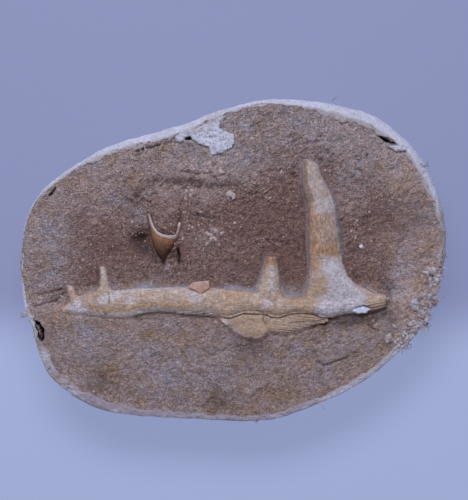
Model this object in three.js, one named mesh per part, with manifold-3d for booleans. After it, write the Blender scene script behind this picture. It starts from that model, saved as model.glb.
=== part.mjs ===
// A fossil fish jaw with its fangs, lying in a block of sandy rock that a plaster jacket backs.
// Millimetres. +Z points out of the prepared face, +X to the front of the jaw, +Y to the tips of the fangs.
// The origin is on the floor, under the middle of the block.

import * as THREE from 'three';
import { mergeVertices } from 'three/addons/utils/BufferGeometryUtils.js';
import Module from 'manifold-3d';

const wasm = await Module();
wasm.setup();

// Heights above the floor
const JACKET_FLOOR = 6;
const FACE = 26.6;
const RIM = 27.4;
const BED = 25;
const CHIP_BED = 28.4;
const CHIP_TOP = 30.6;
const PATCH_BED = 25.1;
const PATCH_TOP = 28.2;
const FILLER_BED = 26.6;
const FILLER_TOP = 28.8;
const SKY = 60;

// Gap between neighbouring pieces, the wider gap round the bones, and the distance at which points are one
const GAP = 0.3;
const BONE_ROOM = 0.4;
const WELD = 1e-4;

// The block's edge, seen from above, clockwise from the left: x, y and the width of the plaster rim there
const EDGE = [
  [-90.1, 1, 1.8], [-87.4, 18.4, 2], [-80, 30.4, 2.4], [-60.8, 44.2, 2.8], [-46.5, 50.2, 3.6],
  [-31, 54.6, 4.2], [-16, 59.6, 3.8], [-4, 64.2, 3.2], [13.5, 68, 2.6], [34, 67.4, 4.2], [52.4, 63.8, 5],
  [67, 56.6, 5], [79.6, 43.6, 4.4], [87, 27.2, 3.6], [90.3, 10, 2.6], [88.4, -6, 2.8], [84.4, -19.5, 3.2],
  [77.4, -31, 3.4], [66.4, -42.4, 3.2], [52.6, -52.6, 3.2], [37, -60.2, 3], [20.5, -66.3, 2.8], [8, -68, 2.6],
  [-15, -67.2, 3], [-39.5, -65.8, 3.4], [-51, -64.4, 4], [-64.8, -59, 4.6], [-76, -50.3, 4.8],
  [-81.6, -40, 4.2], [-84, -31, 3.2], [-88, -20.5, 2.6], [-89.8, -9, 2],
];
const EDGE_STEPS = 96;

// The jacket's flank from the floor up: height, and how far it lies inside the edge
const FLANK = [[0, 7], [1.6, 3.6], [5, 1.8], [11, 0.8], [18, 0.3], [24, 0], [26.4, 0.25], [RIM, 1]];
// Hand-smoothed plaster: swing of the rim's height, swing of the flank as a share, and turns of both
const RIM_SWING = 0.5;
const FLANK_SWING = 0.004;
const FAST_TURN = 0.9;
const SLOW_TURN = 0.37;

// Rock face: size of the relief and of its cells, and the low crown of the whole face
const RELIEF = [204, 156, 40];
const CELL = 4;
const CROWN_RISE = 0.9;
const CROWN_HALF = [90, 70];
// The hollow dug above the jaw: its depth, its foot by the jaw's upper edge, its ledge and its faded ends
const DUG_DEPTH = 3.8;
const DUG_FOOT = [-4, 3];
const LEDGE = [
  [-95, 20], [-72, 24], [-58, 32], [-34, 35.5], [2, 34.5], [14, 43], [31, 47], [46, 41], [62, 31], [78, 12],
  [95, 0],
];
const LEDGE_SLOPE = [-1, 6];
const DUG_HALF_LENGTH = 84;
const DUG_END_FADE = 22;
// Sandy ripples: turn along x, turn along y, phase and swing
const RIPPLES = [
  [0.31, 0.12, 1.05, 0.35], [-0.17, 0.43, 0.9, 0.3], [0.61, -0.38, 0.66, 0.22], [0.83, 0.74, 0.48, 0.16],
];
// Pits dug round the hollow fang and the mound left inside it: x, y, radius and height
const PITS = [[-37.5, 8, 5, -6], [-23, 3, 3.4, -5], [-30.5, -1, 4.4, -5.5], [-29, 17.5, 6.5, 2.6]];
// Sandy lip left round the bones where the rock is dug away: width, and height above their bed
const LIP = 1.1;
const LIP_HEIGHT = 0.7;

// Lower jaw bone, from its broken hind end to its front end: x, lower edge, upper edge and rise above the bed
const JAW = [
  [-73, -21.9, -21.1, 0.8], [-70, -22.3, -18.2, 2], [-66, -23, -15.6, 2.8], [-62, -23.3, -13.9, 3.2],
  [-59, -23.5, -13.4, 3.5], [-52, -24, -13, 3.9], [-44, -24.5, -12.3, 4.3], [-39, -22.9, -12, 4.6],
  [-32, -22, -11.6, 4.8],
  [-20, -23, -11.5, 5], [-8, -23.7, -11.8, 5], [-2.4, -24.6, -12.2, 5], [4.4, -22.6, -12.8, 5],
  [13.7, -22.9, -15, 5], [18, -24.3, -15.6, 5], [24, -22.8, -16, 5], [29.5, -22.4, -15.6, 5.1],
  [37.5, -24.3, -14.8, 5.3], [41.5, -24.6, -14.5, 5.3], [47, -23, -14.3, 5], [58, -22.2, -14.2, 4.4],
  [64.6, -20.3, -14.5, 3.8],
];
const JAW_SIDES = 16;
const JAW_STEPS = 54;
// Flake of bone under the long crack in the jaw: x, lower edge, upper edge and rise
const FLAKE = [
  [-4.6, -25.6, -25, 0.9], [-2.4, -27.4, -25.1, 1.6], [2.3, -31.9, -23.9, 2.4], [7.2, -33.4, -23.2, 2.9],
  [12, -34, -23.3, 3], [13.9, -31.8, -23.6, 3], [15.6, -30.7, -24.1, 3.1], [18, -31.2, -24.8, 3.1],
  [24, -31.3, -23.3, 3.3], [29.5, -29.6, -22.9, 3.3], [34, -28, -23.6, 3], [37, -26.9, -24.7, 2.4],
  [40, -25.8, -25.1, 1.2],
];
const FLAKE_SIDES = 12;
const FLAKE_STEPS = 34;
// Teeth, from inside the jaw to the tip: y, left edge, right edge and rise above the bed
const FRONT_FANG = [
  [-19, 29.5, 58, 4.8], [-14, 30.3, 60, 5.2], [-11.8, 31.2, 54.6, 5.8], [-7.6, 31.6, 49.6, 6.4],
  [-2, 31.8, 46.6, 6.5], [4, 31.8, 45.5, 6.5], [11, 31.5, 44.4, 6.3], [18, 31.6, 43.7, 5.9],
  [22.8, 31.2, 43, 5.4], [27, 30, 41.6, 5], [32, 28.8, 39.3, 4.5], [37.5, 28.9, 36.4, 3.6],
  [40.2, 29.6, 34.5, 2.8], [42.2, 31, 32.4, 1.8],
];
const SECOND_FANG = [
  [-17.5, 8.4, 22.2, 4.4], [-15.6, 9.2, 21.4, 4.8], [-11.8, 10.4, 20.2, 5], [-8.4, 11.4, 19.9, 4.8],
  [-4.2, 12.6, 19.6, 4.6], [-1.4, 13.7, 19.3, 4.4], [1.4, 14.6, 18.8, 4.1],
];
const HIND_TOOTH = [
  [-16, -60, -48.3, 2.9], [-13.5, -57.9, -50.2, 3.1], [-12.2, -56.8, -51.5, 3], [-9.7, -56.3, -52.3, 2.8],
  [-6.7, -56.3, -52.9, 2.6], [-4.6, -56.4, -53.3, 2.4], [-2.7, -56.4, -54, 2],
];
const LAST_TOOTH = [
  [-18, -69.4, -63.4, 2.6], [-15.5, -69.5, -64.8, 2.7], [-13.5, -69.9, -66.3, 2.5], [-11.8, -70.3, -67.3, 2.3],
  [-10.8, -70.2, -67.6, 2],
];
// Each tooth's name, the line where it parts from the jaw, and the strip with nothing else above that line
const TEETH = [
  { name: 'front_fang', rows: FRONT_FANG, skew: -0.34, partsAt: 0.5, from: 25, to: 56, sides: 18, steps: 30 },
  { name: 'second_fang', rows: SECOND_FANG, skew: -0.15, partsAt: -10.5, from: 6, to: 24, sides: 14, steps: 12 },
  { name: 'hind_tooth', rows: HIND_TOOTH, skew: 0, partsAt: -11.4, from: -61, to: -49, sides: 12, steps: 12 },
  { name: 'last_tooth', rows: LAST_TOOTH, skew: 0, partsAt: -14.6, from: -72, to: -64.5, sides: 12, steps: 8 },
];
// Section of a bone: how square its dome is, and how far its keel goes below the bed before it is trimmed flat
const DOME_POWER = 0.8;
const KEEL = 1;
const TRIM = { halfLength: 100, halfWidth: 60, depth: 5 };

// Hollow fang that lies loose above the jaw, tip down in a pit: y, left edge, right edge, height of its middle
const HOLLOW_FANG = [
  [-0.8, -30.4, -29.4, 17.4], [2, -32.1, -27.8, 18.3], [5, -33.5, -25.8, 19.4], [9.6, -34.8, -23.4, 20.6],
  [14, -35.6, -22.1, 21.3], [19.6, -36.4, -21.5, 21.5],
];
const HOLLOW_FANG_DEPTH = 0.86;
const HOLLOW_FANG_WALL = 1.5;
const HOLLOW_FANG_THINNEST = 0.25;
const HOLLOW_FANG_SIDES = 20;
const HOLLOW_FANG_STEPS = 14;
// How far the inside starts above the tip, in walls, and how far bed, bore and core run past the broad end
const BORE_START = 1.6;
const BED_PAST = 0.5;
const BORE_PAST = 2;
const CORE_PAST = 2;
// Broken edge of its front wall, from the left prong round to the right one, and where the lost part ends
const BROKEN_EDGE = [
  [-35.9, 20.4], [-34.9, 17.6], [-33.5, 14.2], [-32, 12], [-30, 10.9], [-27.3, 10.3], [-24.6, 10.6],
  [-23.5, 12.2], [-23, 14.4], [-22.2, 16.2], [-22.6, 20.4],
];
const LOST_WALL_END = 40;
const LOST_WALL_FLOOR = 21;

// Outlines of the thin pieces, seen from above, and the bevels of their edges
const BONE_CHIP = [[-19.2, -11.2], [-13.4, -14.3], [-9.6, -11.7], [-10.2, -8.7], [-16.9, -9.2]];
const PATCH = [
  [-25.5, 57], [-25.3, 52.1], [-23.7, 49.9], [-20.9, 49.6], [-20.5, 51.4], [-18.2, 52.4], [-14.7, 48.9],
  [-10.2, 47.6], [-9.4, 44.3], [-4.4, 45], [-0.4, 47.2], [0.8, 50.5], [-0.2, 53], [-5.9, 55.4], [-5.3, 58],
  [-2.8, 60.2], [-3, 64], [-14, 62],
];
const RIM_FLAKE = [[64.6, 48.9], [66.9, 47], [70.2, 47.4], [72.9, 47.2], [71, 48.8], [67.4, 48.9]];
const FILLER = [[50.4, -20.9], [53.2, -21.7], [56.6, -21.5], [58.3, -20.2], [55, -19.3], [52.2, -19.6]];
const BROAD_BEVEL = 0.5;
const CHIP_BEVEL = 0.4;
const SMALL_BEVEL = 0.3;
// Open gaps where the rock has come away from the plaster, and their depth
const RIM_GAPS = [
  [
    [-84.2, -24.9], [-80.6, -27.3], [-79.2, -30.2], [-79.2, -33.8], [-80.6, -33.6], [-80.9, -30.8], [-84.6, -27],
  ],
  [[61.6, 52.6], [64.8, 49.6], [67.2, 49.3], [70.4, 49.5], [67, 50.6], [64.9, 51.6]],
];
const RIM_GAP_FLOOR = 19;

const BONE = { color: 0xb39a80, roughness: 0.7 };
const FANG = { color: 0xae8e70, roughness: 0.45 };
const CHIP = { color: 0xb08a72, roughness: 0.6 };
const HORN = { color: 0x6d4a34, roughness: 0.35 };
const ROCK = { color: 0x8a7364, roughness: 1 };
const PLASTER = { color: 0xd6d4d6, roughness: 0.95 };
const PUTTY = { color: 0xe6e8ee, roughness: 0.8 };

// A solid from a closed geometry, whichever way round its faces were made.
function solid(geometry) {
  const bare = new THREE.BufferGeometry().setAttribute('position', geometry.getAttribute('position'));
  bare.setIndex(geometry.index);
  const merged = mergeVertices(bare, WELD);
  const triVerts = new Uint32Array(merged.index.array);
  const vertProperties = new Float32Array(merged.attributes.position.array);
  const made = new wasm.Manifold(new wasm.Mesh({ numProp: 3, vertProperties, triVerts }));
  if (made.volume() > 0) return made;
  triVerts.reverse();
  return new wasm.Manifold(new wasm.Mesh({ numProp: 3, vertProperties, triVerts }));
}

// The largest closed piece of a solid.
function largest(made) {
  return made.decompose().sort((a, b) => b.volume() - a.volume())[0];
}

// Values between the rows of a table, by the number that each row starts with.
function between(rows) {
  const width = rows[0].length - 1;
  const places = rows.map((row) => row[0]);
  const values = rows.flatMap((row) => row.slice(1));
  const curve = new THREE.CubicInterpolant(places, values, width);
  return (at) => [...curve.evaluate(at)];
}

// A closed tube: a unit cylinder whose ring k, of steps + 1, takes its points from place(i, k).
function tube(sides, steps, place) {
  const geometry = new THREE.CylinderGeometry(1, 1, 1, sides, steps);
  const position = geometry.getAttribute('position');
  const centre = (k) => {
    const sum = new THREE.Vector3();
    for (let i = 0; i < sides; i++) sum.add(place(i, k));
    return sum.divideScalar(sides);
  };
  for (let n = 0; n < position.count; n++) {
    const across = position.getX(n);
    const deep = position.getZ(n);
    const isCentre = Math.hypot(across, deep) < 0.5;
    const k = Math.round((0.5 - position.getY(n)) * steps);
    const turn = Math.round((Math.atan2(across, deep) / (2 * Math.PI)) * sides);
    const point = isCentre ? centre(k) : place((turn + sides) % sides, k);
    position.setXYZ(n, point.x, point.y, point.z);
  }
  return solid(geometry);
}

// An outline as a shape for extruding.
function shapeOf(outline) {
  return new THREE.Shape(outline.map(([x, y]) => new THREE.Vector2(x, y)));
}

// An upright prism on an outline seen from above.
function prism(outline, low, high) {
  const geometry = new THREE.ExtrudeGeometry(shapeOf(outline), { depth: high - low, bevelEnabled: false });
  return solid(geometry.translate(0, 0, low));
}

// A thin piece with bevelled edges, on an outline seen from above.
function plate(outline, low, high, bevel) {
  const geometry = new THREE.ExtrudeGeometry(shapeOf(outline), {
    depth: high - low - 2 * bevel,
    bevelThickness: bevel,
    bevelSize: bevel,
    bevelOffset: -bevel,
    bevelSegments: 1,
  });
  return solid(geometry.translate(0, 0, low + bevel));
}

// An outline moved out by a distance, which may change round it, or in where the distance is below zero.
function grown(outline, distance) {
  const sign = THREE.ShapeUtils.area(outline.map(([x, y]) => new THREE.Vector2(x, y))) > 0 ? 1 : -1;
  return outline.map(([x, y], i) => {
    const [beforeX, beforeY] = outline.at(i - 1);
    const [afterX, afterY] = outline[(i + 1) % outline.length];
    const out = new THREE.Vector2(afterY - beforeY, beforeX - afterX).normalize();
    const by = sign * (typeof distance === 'function' ? distance(i) : distance);
    return [x + out.x * by, y + out.y * by];
  });
}

// A box between two corners.
function block(low, high) {
  const size = high.map((value, i) => value - low[i]);
  const middle = high.map((value, i) => (value + low[i]) / 2);
  return solid(new THREE.BoxGeometry(...size).translate(...middle));
}

// A bone with a flat bed and a domed face, along x or y, its crest moved aside by skew.
function domed(rows, along, sides, steps, skew = 0) {
  const at = between(rows);
  const first = rows[0][0];
  const length = rows.at(-1)[0] - first;
  const keel = sides - 1;
  const bone = tube(sides, steps, (i, k) => {
    const station = first + (length * k) / steps;
    const [low, high, rise] = at(station);
    const angle = (Math.PI * i) / (keel - 1);
    const u = i === keel ? 0 : -Math.cos(angle);
    const across = (low + high) / 2 + ((high - low) / 2) * (u + skew * (1 - u * u));
    const up = BED + (i === keel ? -KEEL : rise * Math.sin(angle) ** DOME_POWER);
    return along === 'x' ? new THREE.Vector3(station, across, up) : new THREE.Vector3(across, station, up);
  });
  const { halfLength, halfWidth, depth } = TRIM;
  return bone.subtract(block([-halfLength, -halfWidth, BED - depth], [halfLength, halfWidth, BED]));
}

// The room that a bone takes in the rock, seen from above, as an upright prism wider than it by a distance.
function room(rows, along, wider, low, high) {
  const start = [rows[0][0] - wider, ...rows[0].slice(1)];
  const end = [rows.at(-1)[0] + wider, ...rows.at(-1).slice(1)];
  const stations = [start, ...rows.slice(1, -1), end];
  const lower = stations.map(([at, edge]) => [at, edge - wider]);
  const upper = stations.map(([at, , edge]) => [at, edge + wider]).reverse();
  const outline = [...lower, ...upper];
  return prism(along === 'x' ? outline : outline.map(([x, y]) => [y, x]), low, high);
}

// The rooms of the jaw, its flake and its teeth together.
function jawRoom(wider, low, high) {
  const rooms = [room(JAW, 'x', wider, low, high), room(FLAKE, 'x', wider, low, high)];
  rooms.push(...TEETH.map(({ rows }) => room(rows, 'y', wider, low, high)));
  return rooms.reduce((whole, one) => whole.add(one));
}

// The block's edge as a ring of points with the rim's width at each, centred on the origin.
function blockEdge() {
  const curve = new THREE.CatmullRomCurve3(EDGE.map((row) => new THREE.Vector3(...row)), true);
  const points = curve.getPoints(EDGE_STEPS).slice(0, EDGE_STEPS);
  const middle = new THREE.Box3().setFromPoints(points).getCenter(new THREE.Vector3());
  return points.map((point) => [point.x - middle.x, point.y - middle.y, point.z]);
}

// The line between rock and plaster rim, moved out by a distance.
function rimLine(edge, outward) {
  return grown(edge, (i) => outward - edge[i][2]);
}

const ledge = between(LEDGE);
const jawAt = between(JAW);
const { clamp, smoothstep } = THREE.MathUtils;

// Height of the rock's rough face at a point.
function faceHeight(x, y) {
  const jawTop = jawAt(clamp(x, JAW[0][0], JAW.at(-1)[0]))[1];
  const aboveJaw = smoothstep(y - jawTop, ...DUG_FOOT);
  const belowLedge = smoothstep(ledge(x)[0] - y, ...LEDGE_SLOPE);
  const ends = smoothstep(DUG_HALF_LENGTH - Math.abs(x), 0, DUG_END_FADE);
  const crown = CROWN_RISE * (1 - (x / CROWN_HALF[0]) ** 2 - (y / CROWN_HALF[1]) ** 2);
  let height = FACE + crown - DUG_DEPTH * aboveJaw * belowLedge * ends;
  for (const [pitX, pitY, radius, rise] of PITS) {
    height += rise * Math.exp(-((x - pitX) ** 2 + (y - pitY) ** 2) / radius ** 2);
  }
  for (const [turnX, turnY, phase, swing] of RIPPLES) height += swing * Math.sin(turnX * x + turnY * y + phase);
  return height;
}

// The hollow fang's outside, or its inside where the wall is above zero, running past its broad end.
function fangCone(wall, past) {
  const at = between(HOLLOW_FANG);
  const first = HOLLOW_FANG[0][0] + wall * BORE_START;
  const last = HOLLOW_FANG.at(-1)[0];
  return tube(HOLLOW_FANG_SIDES, HOLLOW_FANG_STEPS, (i, k) => {
    const y = first + ((last + past - first) * k) / HOLLOW_FANG_STEPS;
    const [left, right, middle] = at(Math.min(y, last));
    const half = Math.max((right - left) / 2 - wall, HOLLOW_FANG_THINNEST);
    const angle = (2 * Math.PI * i) / HOLLOW_FANG_SIDES;
    const z = middle + half * HOLLOW_FANG_DEPTH * Math.sin(angle);
    return new THREE.Vector3((left + right) / 2 + half * Math.cos(angle), y, z);
  });
}

// The hollow fang: a horn of even wall, open at its broad end, whose front wall is broken away in a curve.
function hollowFang() {
  const lost = [...BROKEN_EDGE, [BROKEN_EDGE.at(-1)[0], LOST_WALL_END], [BROKEN_EDGE[0][0], LOST_WALL_END]];
  const horn = fangCone(0, 0).subtract(fangCone(HOLLOW_FANG_WALL, BORE_PAST));
  return largest(horn.subtract(prism(lost, LOST_WALL_FLOOR, SKY)));
}

// Rock: a relief cut to the rim line, raised to a lip under the bones, with a bed for every piece set in it.
function rock(edge) {
  const [length, width, depth] = RELIEF;
  const cells = [Math.round(length / CELL), Math.round(width / CELL)];
  const relief = new THREE.BoxGeometry(length, width, depth, ...cells, 1);
  const position = relief.getAttribute('position');
  for (let n = 0; n < position.count; n++) {
    const isTop = position.getZ(n) > 0;
    position.setZ(n, isTop ? faceHeight(position.getX(n), position.getY(n)) : -depth);
  }
  const bore = HOLLOW_FANG_WALL + GAP;
  const body = solid(relief)
    .add(jawRoom(LIP, 0, BED + LIP_HEIGHT))
    .subtract(fangCone(-GAP, BED_PAST).subtract(fangCone(bore, CORE_PAST)))
    .add(fangCone(bore, CORE_PAST));
  const beds = [
    jawRoom(BONE_ROOM, BED - GAP, SKY), prism(grown(BONE_CHIP, GAP), CHIP_BED - GAP, SKY),
    prism(grown(PATCH, GAP), PATCH_BED - GAP, SKY), prism(grown(RIM_FLAKE, GAP), PATCH_BED - GAP, SKY),
    ...RIM_GAPS.map((outline) => prism(outline, RIM_GAP_FLOOR, SKY)),
  ];
  const dug = beds.reduce((left, bed) => left.subtract(bed), body);
  return largest(dug.intersect(prism(rimLine(edge, -GAP / 2), JACKET_FLOOR + GAP, SKY)));
}

// Plaster jacket: a shallow dish with a flat foot, rounded below and uneven at the rim.
function jacket(edge) {
  const steps = FLANK.length - 1;
  const dish = tube(EDGE_STEPS, steps, (i, k) => {
    const [height, inset] = FLANK[steps - k];
    const [x, y] = grown(edge, -inset)[i];
    const rough = Math.sin(i * FAST_TURN) * Math.cos(i * SLOW_TURN + height);
    const isFlank = k > 0 && k < steps;
    const out = 1 + (isFlank ? FLANK_SWING * rough : 0);
    return new THREE.Vector3(x * out, y * out, height + (k === 0 ? RIM_SWING * rough : 0));
  });
  return largest(dish.subtract(prism(rimLine(edge, GAP / 2), JACKET_FLOOR, SKY)));
}

// The jaw and its teeth as one bone, then parted by thin cuts across the roots of the teeth.
function jawBones() {
  const teeth = TEETH.map(({ rows, sides, steps, skew }) => domed(rows, 'y', sides, steps, skew));
  const whole = teeth.reduce((bone, tooth) => bone.add(tooth), domed(JAW, 'x', JAW_SIDES, JAW_STEPS));
  const above = ({ partsAt, from, to }, gap) => block([from, partsAt + gap, 0], [to, SKY, SKY]);
  const bones = {};
  for (const tooth of TEETH) bones[tooth.name] = largest(whole.intersect(above(tooth, GAP / 2)));
  const bare = TEETH.reduce((bone, tooth) => bone.subtract(above(tooth, -GAP / 2)), whole);
  const chipBed = prism(grown(BONE_CHIP, GAP), CHIP_BED - GAP, SKY);
  const fillerBed = prism(grown(FILLER, GAP), FILLER_BED - GAP, SKY);
  bones.jaw_bone = largest(bare.subtract(chipBed).subtract(fillerBed));
  return bones;
}

// The flake, kept clear of the jaw's lower edge.
function jawFlake() {
  return largest(domed(FLAKE, 'x', FLAKE_SIDES, FLAKE_STEPS).subtract(room(JAW, 'x', GAP, 0, SKY)));
}

// Plaster that lies on the rock and ends at the jacket's rim.
function plasterOnRock(outline, edge, bevel) {
  const piece = plate(outline, PATCH_BED, PATCH_TOP, bevel);
  return largest(piece.intersect(prism(rimLine(edge, -GAP / 2), 0, SKY)));
}

const edge = blockEdge();
const bones = jawBones();
const nodes = [
  ['plaster_jacket', jacket(edge), PLASTER],
  ['rock_matrix', rock(edge), ROCK],
  ['jaw_bone', bones.jaw_bone, BONE],
  ['jaw_flake', jawFlake(), BONE],
  ['front_fang', bones.front_fang, FANG],
  ['second_fang', bones.second_fang, FANG],
  ['hind_tooth', bones.hind_tooth, FANG],
  ['last_tooth', bones.last_tooth, BONE],
  ['hollow_fang', hollowFang(), HORN],
  ['bone_chip', plate(BONE_CHIP, CHIP_BED, CHIP_TOP, CHIP_BEVEL), CHIP],
  ['plaster_patch', plasterOnRock(PATCH, edge, BROAD_BEVEL), PLASTER],
  ['plaster_flake', plasterOnRock(RIM_FLAKE, edge, SMALL_BEVEL), PLASTER],
  ['filler_blob', plate(FILLER, FILLER_BED, FILLER_TOP, BROAD_BEVEL), PUTTY],
];

const specimen = new THREE.Group();
for (const [name, body, finish] of nodes) {
  const { vertProperties, triVerts } = body.getMesh();
  const geometry = new THREE.BufferGeometry();
  geometry.setAttribute('position', new THREE.BufferAttribute(vertProperties, 3));
  geometry.setIndex(new THREE.BufferAttribute(triVerts, 1));
  geometry.computeVertexNormals();
  const mesh = new THREE.Mesh(geometry, new THREE.MeshStandardMaterial({ ...finish, metalness: 0 }));
  mesh.name = name;
  specimen.add(mesh);
}

export default specimen;
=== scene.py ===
"""A fossil fish jaw with its fangs, in a block of sandy rock that a rough plaster jacket holds.

Tables and sizes are in millimetres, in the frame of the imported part. +X runs to the front of the jaw, +Y to
the tips of the fangs and +Z out of the prepared face.
"""

import math
import random

import bmesh
import bpy
import numpy as np
from mathutils import Matrix, Vector, kdtree, noise
from mathutils.bvhtree import BVHTree


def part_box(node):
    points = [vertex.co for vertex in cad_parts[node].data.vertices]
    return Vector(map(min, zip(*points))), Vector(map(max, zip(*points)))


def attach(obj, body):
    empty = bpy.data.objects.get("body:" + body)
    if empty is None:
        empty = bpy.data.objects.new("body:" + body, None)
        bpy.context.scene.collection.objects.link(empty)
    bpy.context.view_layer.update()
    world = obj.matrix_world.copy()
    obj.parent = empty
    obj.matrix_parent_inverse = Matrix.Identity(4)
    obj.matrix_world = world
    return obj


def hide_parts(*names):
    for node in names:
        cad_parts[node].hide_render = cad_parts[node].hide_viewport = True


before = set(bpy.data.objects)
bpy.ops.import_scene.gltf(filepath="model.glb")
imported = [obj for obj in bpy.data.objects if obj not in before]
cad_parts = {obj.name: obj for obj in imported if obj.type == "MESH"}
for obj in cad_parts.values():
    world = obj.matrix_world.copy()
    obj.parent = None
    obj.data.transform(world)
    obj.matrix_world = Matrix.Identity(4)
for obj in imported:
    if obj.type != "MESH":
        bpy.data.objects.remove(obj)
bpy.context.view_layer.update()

MM = 0.001

# Heights above the floor
JACKET_FLOOR = 6
FACE = 26.6
RIM = 27.4
BED = 25

# The block's edge, seen from above, clockwise from the left: x, y and the width of the plaster rim there
EDGE = [
    (-90.1, 1, 1.8), (-87.4, 18.4, 2), (-80, 30.4, 2.4), (-60.8, 44.2, 2.8), (-46.5, 50.2, 3.6),
    (-31, 54.6, 4.2), (-16, 59.6, 3.8), (-4, 64.2, 3.2), (13.5, 68, 2.6), (34, 67.4, 4.2), (52.4, 63.8, 5),
    (67, 56.6, 5), (79.6, 43.6, 4.4), (87, 27.2, 3.6), (90.3, 10, 2.6), (88.4, -6, 2.8), (84.4, -19.5, 3.2),
    (77.4, -31, 3.4), (66.4, -42.4, 3.2), (52.6, -52.6, 3.2), (37, -60.2, 3), (20.5, -66.3, 2.8),
    (8, -68, 2.6), (-15, -67.2, 3), (-39.5, -65.8, 3.4), (-51, -64.4, 4), (-64.8, -59, 4.6),
    (-76, -50.3, 4.8), (-81.6, -40, 4.2), (-84, -31, 3.2), (-88, -20.5, 2.6), (-89.8, -9, 2),
]

# Plaster jacket: points round its edge, height where its shoulder starts, flank (height, distance inside
# the edge) and levels of its rings
JACKET_POINTS = 760
SHOULDER_HEIGHT = 23.6
FLANK = [
    (0, 7), (1.6, 3.6), (5, 1.8), (11, 0.8), (16, 0.3), (21, 0.1), (SHOULDER_HEIGHT, 0), (25.2, 0.3),
    (26.4, 0.9), (RIM, 1.7),
]
# The rounding of the rim that is kept at the bottom of the block, and how far its top leans outwards
SHOULDER_LEFT = 0.3
RIM_LEAN = 0.9
FLANK_LEVELS = (0, 0.8, 1.6, 3, 5, 7.5, 10, 12.5, 15, 17, 19, 21, 23, 24.6, 25.8, 26.6, 27.1)
RIM_SHARES = (0, 0.1, 0.2, 0.3, 0.4, 0.5, 0.6, 0.7, 0.8, 0.9, 1)
RIM_BULGE = 0.25
INNER_LEVELS = (26.8, 26, 24.5, 22, 18, JACKET_FLOOR)
# Stretches of the rim that have crumbled, and stretches that sand or ochre has stained: x, y and reach
CRUMBLED = [
    (86, -2, 9), (84, -14, 9), (80, -24, 9), (73, -34, 8), (-84, -24, 6), (-80, -34, 6), (-76, -48, 7),
    (-66, -57, 6),
]
WIDENED_RIM = [(80, 40, 9), (86, 27, 8), (60, 58, 9), (44, 64, 8), (-56, 45, 6), (-40, 50, 5)]
SANDED_RIM = [
    (-80, -38, 12), (-70, -50, 12), (-55, -60, 10), (86, 0, 16), (80, -26, 14), (-30, -65, 8), (88, 14, 6),
]
OCHRE_RIM = [
    (-82, -38, 3), (-79, -45, 3.4), (-73, -51, 3), (-67, -56, 3.4), (-58, -61, 3), (-46, -65, 3),
    (84, -14, 8), (8, -66, 5), (-25, 57, 3), (-14, 64, 5), (86, -4, 5), (76, -32, 5),
]
PATCH_OCHRE = [(-14, 61, 4), (-18, 57, 3)]

# Rock face: cell and size of its grid, low crown, hollow dug above the jaw, sandy ripples, pits and mounds
ROCK_CELL = 0.5
ROCK_GRID = (182, 138)
ROCK_FLOOR = 9
ROCK_OVERLAP = 1.1
CROWN_RISE = 0.9
CROWN_HALF = (90, 70)
DUG_DEPTH = 3.8
LEDGE = [
    (-95, 20), (-72, 24), (-58, 32), (-34, 35.5), (2, 34.5), (14, 43), (31, 47), (46, 41), (62, 31),
    (78, 12), (95, 0),
]
JAW_TOP = [
    (-73, -21), (-66, -15.6), (-62, -13.9), (-52, -13), (-39, -12), (-20, -11.5), (-2, -12.2), (14, -15),
    (47, -14.3), (64.6, -14.5),
]
DUG_HALF_LENGTH = 84
DUG_END_FADE = 22
RIPPLES = [
    (0.31, 0.12, 1.05, 0.35), (-0.17, 0.43, 0.9, 0.3), (0.61, -0.38, 0.66, 0.22), (0.83, 0.74, 0.48, 0.16),
]
PITS = [
    (-38, 8.5, 4.2, -5.5), (-35, 3, 3.2, -4.5), (-30.5, -1, 3, -3), (-25, 2.5, 2.4, -2),
    (-29.8, -1.4, 0.7, -3), (-70, 20, 5, -1.2), (36, 38, 4, -1.2), (52, -27, 6, -1.4), (68, -10, 4, 0.8),
    (-8, 17, 5, -1), (60, 14, 8, -1),
]
# Painted shade at pits, under the hollow fang's tip and along a slot, which is also sunk into the face
PIT_SHADE = [(-40.6, 9, 3.6), (-38, 4.6, 2.6), (-25, 2, 1.8), (-34, 1.6, 2)]
PIT_SHADE_UNDER_TIP = [(-29.8, -1.4, 0.8)]
PIT_SLOT = [(-23.4, 4.6), (-22.9, 1.5), (-23.1, -1.2)]
# Hollow fang from its tip to its broad end: y, middle x, half width and height of its middle. Rock fills
# it the more, the nearer it is to its broad end, and its broken rim is thickest at one spot.
FANG_BED = [
    (-0.8, -29.9, 0.5, 17.4), (2, -29.95, 2.15, 18.3), (5, -29.65, 3.85, 19.4), (9.6, -29.1, 5.7, 20.6),
    (14, -28.85, 6.75, 21.3), (19.6, -28.95, 7.45, 21.5), (24, -29, 8, 21.5),
]
FANG_WALL = 1.5
FANG_FILLING = [(9, 0.3), (11.5, 0.62), (14, 0.85), (20, 0.9)]
THICKEST_RIM = [(-24.6, 10.6, 3)]
HOLLOW_FANG_CORNER = (-22, 15.6)
BROKEN_RIM = [
    (-35.9, 20.4), (-34.9, 17.6), (-33.5, 14.2), (-32, 12), (-30, 10.9), (-27.3, 10.3), (-24.6, 10.6),
    (-23.5, 12.2), (-23, 14.4), (-22.2, 16.2), (-22.6, 20.4),
]

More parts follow.
